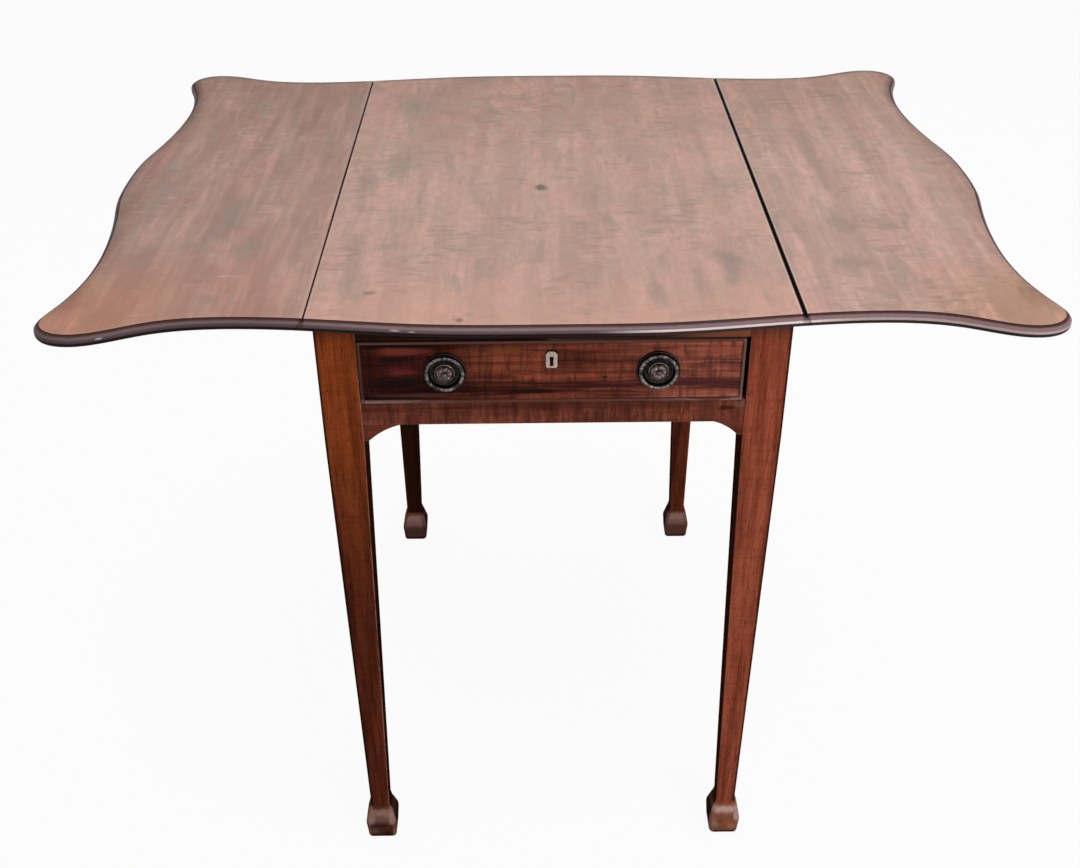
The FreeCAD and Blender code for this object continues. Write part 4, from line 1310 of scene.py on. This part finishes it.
    def finishes(self) -> Dict[str, WoodFinish]:
        """Finish of each visible piece of the frame.

        Returns:
            The finishes by piece.
        """
        def foot(upper: Colour, lower: Colour, rim: Colour, turn: float = 0.036) -> Tuple[Zone, ...]:
            """Upward slopes of a foot, partly rubbed and partly painted light, with a painted highlight at their
            rim, over a darker base in painted shade.
            """
            return (Zone(((Axis.Z, 0.052, 0.045),), upper, 0.88, 0.006),
                    Zone(((Axis.Z, 0.0485, 0.0445), (Axis.Z, 0.0365, 0.0410)), rim, 0.70, 0.010),
                    Zone(((Axis.Z, turn, turn - 0.011),), lower, 0.88, 0.006),
                    Zone(((Axis.Z, 0.0105, 0.0070),), dark, 0.92, 0.003))

        def foot_spot(x: float, z: float, wide: float, high: float, colour: Colour, share: float) -> Spot:
            """Mark on the front of a foot, in millimetres; the pale ones are painted highlights, the others
            patches of colour.
            """
            return Spot((x * MM, -0.308, z * MM), (wide * MM, 0.02, high * MM), colour, share)

        dark = (0.008, 0.003, 0.002)
        # Painted shade: the left front leg darker down its length, and the front legs darker at the head as
        # painted shadow under the top's overhang.
        shade = Zone(((Axis.Z, 0.68, 0.34),), (0.40, 0.42, 0.72), 1.0, 0.05, Blend.TINT)
        eaves_shadow = Zone(((Axis.Z, 0.676, 0.703),), (0.36, 0.50, 0.66), 0.95, 0.008, Blend.TINT)
        common = dict(grain=Grain.UPRIGHT, bands=0.5, streaks=0.64, fibre=0.50, pores=0.6, pore=dark, wear=0.55,
                      flecks=0.28, roughness=0.42, painted_shade_share=0.96, mirror=0.0)
        flat = dict(grain=Grain.ACROSS, bands=0.5, streaks=0.32, fibre=0.2, pores=0.4, wear=0.45, roughness=0.42,
                    worn=(0.20, 0.085, 0.055), mirror=0.015)
        rail_marks = (Spot((0.1787, FRONT_FACE, 0.6113), (0.010, 0.02, 0.005), (0.120, 0.080, 0.066), 0.45),
                      Spot((0.1660, FRONT_FACE, 0.6080), (0.016, 0.02, 0.004), dark, 0.75))
        glint = (0.380, 0.250, 0.215)
        left_foot_spots = (foot_spot(-217.0, 33.0, 6.0, 10.0, glint, 0.42), foot_spot(-193.0, 34.0, 5.5, 10.0, glint, 0.46),
                       foot_spot(-206.0, 25.0, 17.0, 5.0, (0.024, 0.006, 0.004), 0.60),
                       foot_spot(-214.0, 15.0, 8.0, 6.5, (0.150, 0.075, 0.055), 0.42),
                       foot_spot(-197.0, 11.0, 9.0, 5.5, dark, 0.50))
        right_foot_spots = (foot_spot(219.0, 34.0, 4.5, 8.0, (0.560, 0.430, 0.370), 0.50),
                        foot_spot(194.0, 22.0, 6.0, 12.0, (0.330, 0.230, 0.190), 0.42),
                        foot_spot(206.5, 23.0, 14.0, 10.0, (0.270, 0.080, 0.022), 0.46),
                        foot_spot(198.5, 26.0, 8.0, 6.0, (0.060, 0.022, 0.009), 0.52),
                        foot_spot(214.0, 15.0, 8.0, 7.0, (0.300, 0.165, 0.140), 0.42))
        left_foot = foot((0.150, 0.074, 0.056), (0.044, 0.014, 0.009), (0.235, 0.132, 0.106))
        right_foot = foot((0.265, 0.132, 0.096), (0.150, 0.052, 0.025), (0.460, 0.310, 0.260), 0.043)
        left = WoodFinish("leg_orange", (0.228, 0.049, 0.013), (0.092, 0.018, 0.005), seed=1.3,
                          worn=(0.300, 0.130, 0.090), zones=(shade, eaves_shadow) + left_foot, spots=left_foot_spots,
                          **common)
        right = WoodFinish("leg_red", (0.275, 0.067, 0.036), (0.125, 0.025, 0.011), seed=4.9,
                           worn=(0.235, 0.110, 0.080), zones=(eaves_shadow,) + right_foot, spots=right_foot_spots, **common)
        # The rear legs are darker than the front ones in painted shade, and so are their rubbed corners.
        back_left = WoodFinish("leg_rear_left_dark", (0.190, 0.042, 0.018), (0.060, 0.013, 0.006), seed=6.2,
                               worn=(0.030, 0.011, 0.007),
                               zones=foot((0.210, 0.106, 0.090), (0.045, 0.018, 0.014), (0.250, 0.150, 0.130)),
                               **common)
        back_right = WoodFinish("leg_rear_right_dark", (0.125, 0.028, 0.012), (0.030, 0.007, 0.004), seed=8.8,
                                worn=(0.090, 0.034, 0.022),
                                zones=foot((0.210, 0.106, 0.087), (0.070, 0.026, 0.018), (0.270, 0.155, 0.130)),
                                **common)
        lower = WoodFinish("lower_rail_figured", (0.218, 0.058, 0.033), (0.030, 0.007, 0.005), seed=2.2,
                           figure=0.50, flecks=0.62, spots=rail_marks, **flat)
        # Top rail: its near-black colour is painted shadow under the top's overhang, lighter towards its right end
        # as painted light, and darker along its top, also painted shadow.
        lit = Zone(((Axis.X, 0.085, 0.160),), (0.190, 0.058, 0.028), 0.85, 0.02)
        upper = WoodFinish("top_rail_shaded_red", (0.026, 0.008, 0.006), (0.008, 0.003, 0.002), seed=5.5,
                           zones=(lit, Zone(((Axis.Z, 0.6915, 0.6955),), dark, 0.92, 0.001)), **flat)
        behind = WoodFinish("rear_rail_brown", (0.105, 0.034, 0.018), (0.045, 0.014, 0.008), seed=9.4, figure=0.25,
                            **flat)
        corner = WoodFinish("corner_piece_red", (0.150, 0.036, 0.018), (0.055, 0.013, 0.008), seed=3.7, flecks=0.3,
                            **flat)
        return {"leg_front_left": left, "leg_front_right": right, "leg_rear_left": back_left,
                "leg_rear_right": back_right, "front_lower_rail": lower, "front_top_rail": upper,
                "rear_rail": behind, "spandrel_front_left": corner, "spandrel_front_right": corner,
                "spandrel_rear_left": behind, "spandrel_rear_right": behind}

    def build(self) -> None:
        """Builds and dresses the frame."""
        for node, finish in self.finishes().items():
            if node.startswith("leg_"):
                side_y = -1 if "front" in node else 1
                side_x = -1 if node.endswith("left") else 1
                under_shade = self.dark_corner if node == "leg_rear_left" else 0.0
                piece = self.leg("tapered_" + node, side_x, side_y, under_shade)
            else:
                piece = softened(node, self.rail_arris)
            settle(piece, "frame", "frame_mahogany", finish.material(), node)
        bare = carcass_finish().material()
        for node in ("side_rail_left", "side_rail_right", "drawer_runner_left", "drawer_runner_right",
                     "drawer_kicker_left", "drawer_kicker_right", "drawer_stops", "glue_blocks"):
            paint(node, bare)
        iron = MetalFinish("glide_iron", (0.060, 0.052, 0.046), (0.016, 0.012, 0.010), 0.6, 0.42, 0.75).material()
        settle(softened("foot_glides", 0.0), "frame", "glide_iron", iron, "foot_glides")


def carcass_finish(name: str = "carcass_bare", grain: Grain = Grain.DEEP, seed: float = 0.4) -> WoodFinish:
    """Bare old wood of the hidden work.

    Args:
        name: The finish's name.
        grain: Run of the fibres.
        seed: Shift of the figure.

    Returns:
        The finish.
    """
    return WoodFinish(name, (0.330, 0.205, 0.105), (0.215, 0.120, 0.058), grain, seed, bands=0.5, streaks=0.5,
                      fibre=0.4, pores=0.25, pore=(0.09, 0.05, 0.028), clouds=0.25, cloud=(0.15, 0.085, 0.045),
                      worn=(0.42, 0.29, 0.17), wear=0.5, roughness=0.72, smears=0.10, mirror=0.06, relief=0.30)


@dataclass
class FlySupports:
    """Fly rails and their swinging brackets."""

    arris: float = 0.6 * MM

    def build(self) -> None:
        """Builds and dresses both sides."""
        stained = dict(grain=Grain.DEEP, bands=0.5, streaks=0.5, fibre=0.45, pores=0.45, wear=0.55,
                       worn=(0.22, 0.125, 0.080), roughness=0.52, mirror=0.0, relief=0.30)
        for number, side in enumerate(("left", "right")):
            rail = WoodFinish("fly_rail_stain_" + side, (0.105, 0.045, 0.026), (0.050, 0.020, 0.013),
                              seed=1.9 + number, **stained)
            bracket = WoodFinish("fly_bracket_stain_" + side, (0.120, 0.056, 0.032), (0.055, 0.024, 0.015),
                                 seed=6.4 + number, **stained)
            for node, body, finish in (("fly_rail_" + side, "frame", rail),
                                       ("fly_bracket_" + side, "bracket_" + side, bracket)):
                settle(softened(node, self.arris), body, "fly_wood", finish.material(), node)


@dataclass
class Drawer:
    """The drawer box with its bead, lock and escutcheon."""

    arris: float = 0.5 * MM
    plate_arris: float = 0.15 * MM
    keyhole_share: float = 0.45
    keyhole_middle: float = 0.4 * MM
    keyhole_worn: float = 1.7 * MM
    plate_corner: float = 1.8 * MM
    plate_corner_steps: int = 4
    plate_rim: float = 0.05
    plate_drop: float = 1.2 * MM
    plate_narrow: float = 0.35 * MM
    seam_width: float = 0.7 * MM
    seam_lift: float = 0.04 * MM
    seam_from: Tuple[float, float] = (0.3, 0.4)
    seam_face: float = 0.05 * MM
    bead_smooth_under: float = 60.0

    def front(self) -> WoodFinish:
        """Finish of the figured front: red-brown with black streaks, darker towards the left in painted shade and
        lighter towards the right in painted light.

        Returns:
            The finish.
        """
        black = (0.006, 0.003, 0.003)
        red = (0.195, 0.040, 0.024)
        zones = (
            # Darker towards the left in painted shade, lighter towards the right in painted light, and darker
            # along the top.
            Zone(((Axis.X, -0.01, -0.13),), (0.15, 0.10, 0.11), 0.95, 0.05, Blend.TINT),
            Zone(((Axis.X, 0.02, 0.14),), (1.68, 2.05, 2.55), 0.88, 0.05, Blend.TINT),
            Zone(((Axis.Z, 0.6705, 0.6770),), (0.82, 0.78, 0.72), 0.9, 0.004, Blend.TINT),
        )

        def streak(x: float, z: float, wide: float, high: float, colour: Colour, share: float) -> Spot:
            """Mark on the front, long in the grain, in millimetres."""
            return Spot((x * MM, FRONT_FACE, z * MM), (wide * MM, 0.03, high * MM), colour, share)

        spots = (
            streak(-143, 673, 34, 6.0, (0.150, 0.028, 0.018), 0.75),
            streak(-144, 651, 22, 5.0, (0.115, 0.016, 0.018), 0.70),
            streak(-150, 662.5, 24, 4.2, black, 0.95), streak(-142, 640.5, 40, 6.0, black, 0.97),
            streak(-17, 629, 40, 3.4, black, 0.90), streak(-55, 645, 26, 3.5, black, 0.55),
            streak(20, 631, 20, 4.0, black, 0.55), streak(-45, 673, 24, 5.0, (0.150, 0.045, 0.012), 0.60),
            streak(45, 674, 52, 4.0, red, 0.60), streak(160, 672, 30, 8.0, (0.260, 0.058, 0.036), 0.60),
            streak(132, 655, 20, 4.5, (0.075, 0.022, 0.016), 0.75), streak(48.5, 643.7, 4.0, 2.2, black, 0.9),
            streak(20, 652, 40, 4.5, (0.060, 0.017, 0.010), 0.55),
            streak(-130, 625, 45, 3.5, (0.085, 0.032, 0.030), 0.5),
        )
        return WoodFinish("drawer_flame", (0.275, 0.064, 0.031), (0.034, 0.007, 0.005), Grain.ACROSS, 2.9,
                          bands=0.8, streaks=0.66, fibre=0.34, pores=0.34, figure=0.30, flecks=0.62, clouds=0.45,
                          cloud=black, roughness=0.38, zones=zones, spots=spots)

    def escutcheon(self) -> bpy.types.Object:
        """The bone plate, shrunk and rounded in its bed, with its keyhole worn wider.

        Returns:
            The plate.
        """
        low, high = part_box("escutcheon")
        centre = (low + high) / 2
        built = merged("escutcheon")
        feet = [edge for edge in built.edges if all(v.co.z < low.z + NEAR for v in edge.verts)
                and abs(edge.verts[0].co.x - edge.verts[1].co.x) < NEAR]
        bmesh.ops.bevel(built, geom=feet, offset=self.plate_corner, offset_type="OFFSET",
                        segments=self.plate_corner_steps, profile=0.5, affect="EDGES")
        half, tall = (high.x - low.x) / 2, high.z - low.z
        for vertex in built.verts:
            aside = vertex.co.x - centre.x
            rise = (vertex.co.z - low.z) / tall
            if abs(aside) > half * self.keyhole_share or not self.plate_rim < rise < 1.0 - self.plate_rim:
                vertex.co.x = centre.x + aside * (1.0 - self.plate_narrow / half)
                vertex.co.z -= self.plate_drop * max(0.0, rise - 0.5) * 2.0
            elif abs(aside) > self.keyhole_middle:
                vertex.co.x = centre.x + math.copysign(max(abs(aside), self.keyhole_worn), aside)
        rub(built, corner_edges(built), self.plate_arris)
        return object_of("worn_escutcheon", built)

    def seam(self) -> bpy.types.Object:
        """Dark seam of old wax round the escutcheon.

        Returns:
            The seam, a thin plate that shows as an outline.
        """
        low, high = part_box("escutcheon")
        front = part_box("drawer_front")[0].y
        centre = (low + high) / 2
        plate = merged("escutcheon")
        wide, tall = (high.x - low.x) * self.seam_from[0], (high.z - low.z) * self.seam_from[1]
        corners = []
        for vertex in plate.verts:
            away = Vector((vertex.co.x - centre.x, 0.0, vertex.co.z - centre.z))
            if vertex.co.y < low.y + self.seam_face and (abs(away.x) > wide or abs(away.z) > tall):
                corners.append(centre + away + away.normalized() * self.seam_width)
        plate.free()
        corners.sort(key=lambda spot: math.atan2(spot.z - centre.z, spot.x - centre.x))
        built = bmesh.new()
        built.faces.new([built.verts.new((spot.x, front - self.seam_lift, spot.z)) for spot in corners])
        bmesh.ops.recalc_face_normals(built, faces=built.faces)
        return object_of("escutcheon_seam", built)

    def build(self) -> None:
        """Builds and dresses the drawer."""
        front = self.front().material()
        settle(softened("drawer_front", 0.0), "drawer", "drawer_mahogany", front, "drawer_front")
        # The bead's bottom run, lighter still at its ends, its top run and its right run are lighter as painted
        # light; its left run is darker.
        bead_zones = (
            Zone(((Axis.Z, 0.6225, 0.6205),), (0.094, 0.036, 0.027), 0.85, 0.0015),
            Zone(((Axis.Z, 0.6225, 0.6205), (Axis.FROM_MIDDLE, 0.08, 0.17)), (0.270, 0.170, 0.148), 0.60, 0.02),
            Zone(((Axis.Z, 0.6790, 0.6815),), (0.100, 0.046, 0.036), 0.70, 0.0015),
            Zone(((Axis.X, 0.1745, 0.1760),), (0.165, 0.085, 0.068), 0.60, 0.001),
            Zone(((Axis.X, -0.1775, -0.1790),), (0.060, 0.026, 0.020), 0.60, 0.001),
        )
        bead = WoodFinish("bead_painted_light", (0.085, 0.032, 0.022), (0.035, 0.013, 0.009), Grain.ACROSS, 7.1, pores=0.3,
                          roughness=0.42, zones=bead_zones)
        settle(softened("cock_bead", 0.0, self.bead_smooth_under), "drawer", "bead_mahogany", bead.material(),
               "cock_bead")
        sides = carcass_finish("drawer_side_wood", Grain.DEEP, 3.3).material()
        cross = carcass_finish("drawer_cross_wood", Grain.ACROSS, 5.8).material()
        for node, wood in (("drawer_side_left", sides), ("drawer_side_right", sides), ("drawer_back", cross)):
            settle(softened(node, self.arris), "drawer", "carcass_wood", wood, node)
        paint("drawer_bottom", cross)
        brass = MetalFinish("lock_brass", (0.46, 0.34, 0.15), (0.14, 0.095, 0.045), 0.5, 0.34, 0.60).material()
        paint("lock_case", brass)
        bone = WoodFinish("old_bone", (0.560, 0.440, 0.390), (0.330, 0.245, 0.215), Grain.UPRIGHT, 1.1, bands=0.7,
                          streaks=0.5, fibre=0.4, pores=0.35, pore=(0.20, 0.14, 0.09), worn=(0.82, 0.68, 0.61),
                          wear=0.8, patchy=0.4, roughness=0.42, mirror=0.3, relief=0.15).material()
        settle(self.escutcheon(), "drawer", "bone", bone, "escutcheon")
        wax = WoodFinish("old_wax", (0.012, 0.006, 0.004), (0.004, 0.002, 0.002), Grain.ACROSS, roughness=0.6)
        settle(self.seam(), "drawer", "bone", wax.material())


@dataclass
class RingHandle:
    """One ring handle: turned plate, rosette boss and beaded ring."""

    side: str
    plate_radius: float = 20.5
    plate_steps: int = 72
    plate_worn_above: float = 1.85
    boss_seat: float = 1.5
    boss_steps: int = 96
    boss_worn_above: float = 2.2
    petals: int = 8
    petal_height: float = 0.77
    petal_at: float = 5.6
    petal_spread: float = 2.0
    beads: int = 24
    bead_radius: float = 2.30 * MM
    core_radius: float = 1.95 * MM
    ring_radius: float = 17.0 * MM

    def metals(self) -> Dict[str, bpy.types.Material]:
        """Metals of the handle.

        Returns:
            The metals by place.
        """
        dark = MetalFinish("handle_dark", (0.075, 0.062, 0.052), (0.010, 0.008, 0.007), 0.74, 0.34, 0.58,
                           cells=420.0, rubbed=0.35)
        boss = MetalFinish("handle_boss", (0.178, 0.132, 0.120), (0.018, 0.013, 0.011), 0.55, 0.18, 0.42,
                           cells=210.0, rubbed=0.30)
        bright = MetalFinish("handle_beads", (0.200, 0.180, 0.170), (0.022, 0.019, 0.018), 0.55, 0.26, 0.46,
                             cells=130.0)
        return {"dark": dark.material(), "boss": boss.material(), "bright": bright.material()}

    def petal_lift(self, radius: float, angle: float) -> float:
        """Extra height of the boss, in millimetres, where a petal stands out."""
        swell = math.exp(-((radius - self.petal_at) / self.petal_spread) ** 2)
        return self.petal_height * swell * (0.5 + 0.5 * math.cos(self.petals * angle))

    def build(self) -> None:
        """Builds and dresses the handle."""
        metals = self.metals()
        plate_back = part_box("handle_plate_" + self.side)[1].y
        ring_low, ring_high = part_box("handle_ring_" + self.side)
        ring_centre = (ring_low + ring_high) / 2
        centre = Vector((ring_centre.x, plate_back, ring_centre.z))
        r = self.plate_radius
        rim = [(2.6, 0.0), (r, 0.0), (r, 1.7), (r - 0.25, 2.2), (r - 0.8, 2.5), (r - 1.35, 2.25), (r - 1.6, 1.8),
               (r - 2.0, 1.55), (14.2, 1.45), (13.9, 1.75), (13.3, 1.95), (12.7, 1.75), (12.4, 1.4), (10.4, 1.3),
               (10.2, 1.5), (2.6, 1.5)]
        plate = turned("turned_plate_" + self.side, rim, centre, self.plate_steps,
                       worn_above=self.plate_worn_above)
        settle(plate, "drawer", "handle_bronze", metals["dark"], "handle_plate_" + self.side)
        rise = [(10.0, 0.0), (10.0, 1.4), (9.7, 2.0), (9.2, 2.3), (8.8, 2.2), (8.5, 2.6), (7.9, 3.4), (7.0, 4.2),
                (5.9, 4.9), (4.6, 5.3), (3.6, 5.3), (3.2, 5.2), (3.0, 5.6), (2.6, 6.4), (1.8, 7.0), (0.8, 7.25),
                (0.0, 7.3)]
        crown = [(2.4, 0.2)] + [(radius, self.boss_seat + height) for radius, height in rise]
        boss = turned("rosette_boss_" + self.side, crown, centre, self.boss_steps, self.petal_lift,
                      self.boss_worn_above)
        settle(boss, "drawer", "handle_bronze", metals["boss"], "handle_boss_" + self.side)
        ring = BeadedRing.make("beaded_ring_" + self.side, [Vector()], {
            "Ring Radius": self.ring_radius, "Core Radius": self.core_radius, "Bead Radius": self.bead_radius,
            "Beads": self.beads, "Centre": ring_centre, "Metal": metals["bright"]})
        settle(ring, "ring_" + self.side, "handle_bronze", metals["bright"], "handle_ring_" + self.side)


@dataclass(frozen=True)
class Lamp:
    """A square soft lamp, in metres and watts."""

    name: str
    place: Point
    aim: Point
    size: float
    power: float

    def hang(self) -> None:
        """Hangs the lamp so that it faces its aim."""
        light = bpy.data.lights.new(self.name, "AREA")
        light.shape = "SQUARE"
        light.size = self.size
        light.energy = self.power
        lamp = bpy.data.objects.new(self.name, light)
        facing = (Vector(self.aim) - Vector(self.place)).to_track_quat("-Z", "Y")
        lamp.matrix_world = Matrix.Translation(self.place) @ facing.to_matrix().to_4x4()
        bpy.context.scene.collection.objects.link(lamp)


@dataclass
class Studio:
    """Floor, light and camera."""

    eye: Point = (-0.021305, -1.370847, 1.269953)
    pitch: float = 0.57639
    yaw: float = -0.00801
    roll: float = -0.00598
    focus_px: float = 1312.22
    width_px: float = 1080.0
    sensor: float = 36.0
    floor_reach: float = 20.0
    floor_colour: Colour = (0.82, 0.82, 0.82)
    floor_glow: float = 0.93
    sky_light: float = 0.46
    lamps: Tuple[Lamp, ...] = (Lamp("key_lamp", (1.5, -2.6, 1.35), (0.0, -0.1, 0.5), 2.2, 52.0),
                               Lamp("overhead_lamp", (0.3, -0.2, 3.0), (0.0, 0.0, 0.7), 2.4, 30.0))

    def camera(self) -> None:
        """Sets the camera at the photograph's place."""
        base = Matrix(((1, 0, 0), (0, 0, -1), (0, 1, 0)))
        turn = Matrix.Rotation(self.roll, 3, "Z") @ Matrix.Rotation(self.pitch, 3, "X")
        turn = turn @ Matrix.Rotation(self.yaw, 3, "Y") @ base
        right, down, ahead = turn
        lens = bpy.data.cameras.new("camera")
        lens.sensor_fit = "HORIZONTAL"
        lens.sensor_width = self.sensor
        lens.lens = self.focus_px / self.width_px * self.sensor
        camera = bpy.data.objects.new("camera", lens)
        axes = Matrix((right, -down, -ahead)).transposed()
        camera.matrix_world = Matrix.Translation(self.eye) @ axes.to_4x4()
        bpy.context.scene.collection.objects.link(camera)
        bpy.context.scene.camera = camera

    def white_for_view(self, graph: Graph) -> Socket:
        """Tells the rays that show the background from those that light the table.

        Args:
            graph: The graph that needs it.

        Returns:
            1 for rays that are seen, mirrored or through glass.
        """
        rays = graph.add("ShaderNodeLightPath").outputs
        seen = graph.math("MAXIMUM", rays["Is Camera Ray"], rays["Is Glossy Ray"])
        return graph.math("MAXIMUM", seen, rays["Is Transmission Ray"])

    def floor(self) -> None:
        """Lays the pale floor, which keeps the table's shadow."""
        built = bmesh.new()
        bmesh.ops.create_grid(built, x_segments=2, y_segments=2, size=self.floor_reach)
        floor = object_of("floor", built)
        material = bpy.data.materials.new("floor_white")
        material.use_nodes = True
        graph = Graph(material.node_tree)
        material.node_tree.nodes.remove(material.node_tree.nodes["Principled BSDF"])
        paper = graph.add("ShaderNodeBsdfDiffuse", {"Color": self.floor_colour})
        glow = graph.add("ShaderNodeEmission", {"Color": (1.0, 1.0, 1.0), "Strength": 1.0})
        share = graph.math("MULTIPLY", self.white_for_view(graph), self.floor_glow)
        both = graph.add("ShaderNodeMixShader", {0: share, 1: paper.outputs[0], 2: glow.outputs[0]})
        graph.feed(material.node_tree.nodes["Material Output"].inputs["Surface"], both.outputs[0])
        floor.data.materials.append(material)

    def sky(self) -> None:
        """Sets an even white sky."""
        world = bpy.data.worlds.new("sky")
        bpy.context.scene.world = world
        world.use_nodes = True
        graph = Graph(world.node_tree)
        back = world.node_tree.nodes["Background"]
        back.inputs["Color"].default_value = (1.0, 1.0, 1.0, 1.0)
        strength = graph.ramp(self.white_for_view(graph), 0.0, 1.0, self.sky_light, 1.0)
        graph.feed(back.inputs["Strength"], strength)

    def build(self) -> None:
        """Builds the floor, the light and the camera."""
        bpy.context.scene.view_settings.view_transform = "Standard"
        self.camera()
        self.floor()
        self.sky()
        for lamp in self.lamps:
            lamp.hang()


def main() -> None:
    """Builds the studio and each part of the table in order."""
    logging.basicConfig(level=logging.INFO, format="%(message)s")
    parts = (Studio(), TableTop(), RuleHinges(), Underframe(), FlySupports(), Drawer(), RingHandle("left"),
             RingHandle("right"))
    for part in parts:
        part.build()
        log.info("%s done", type(part).__name__)


if __name__ == "__main__":
    main()
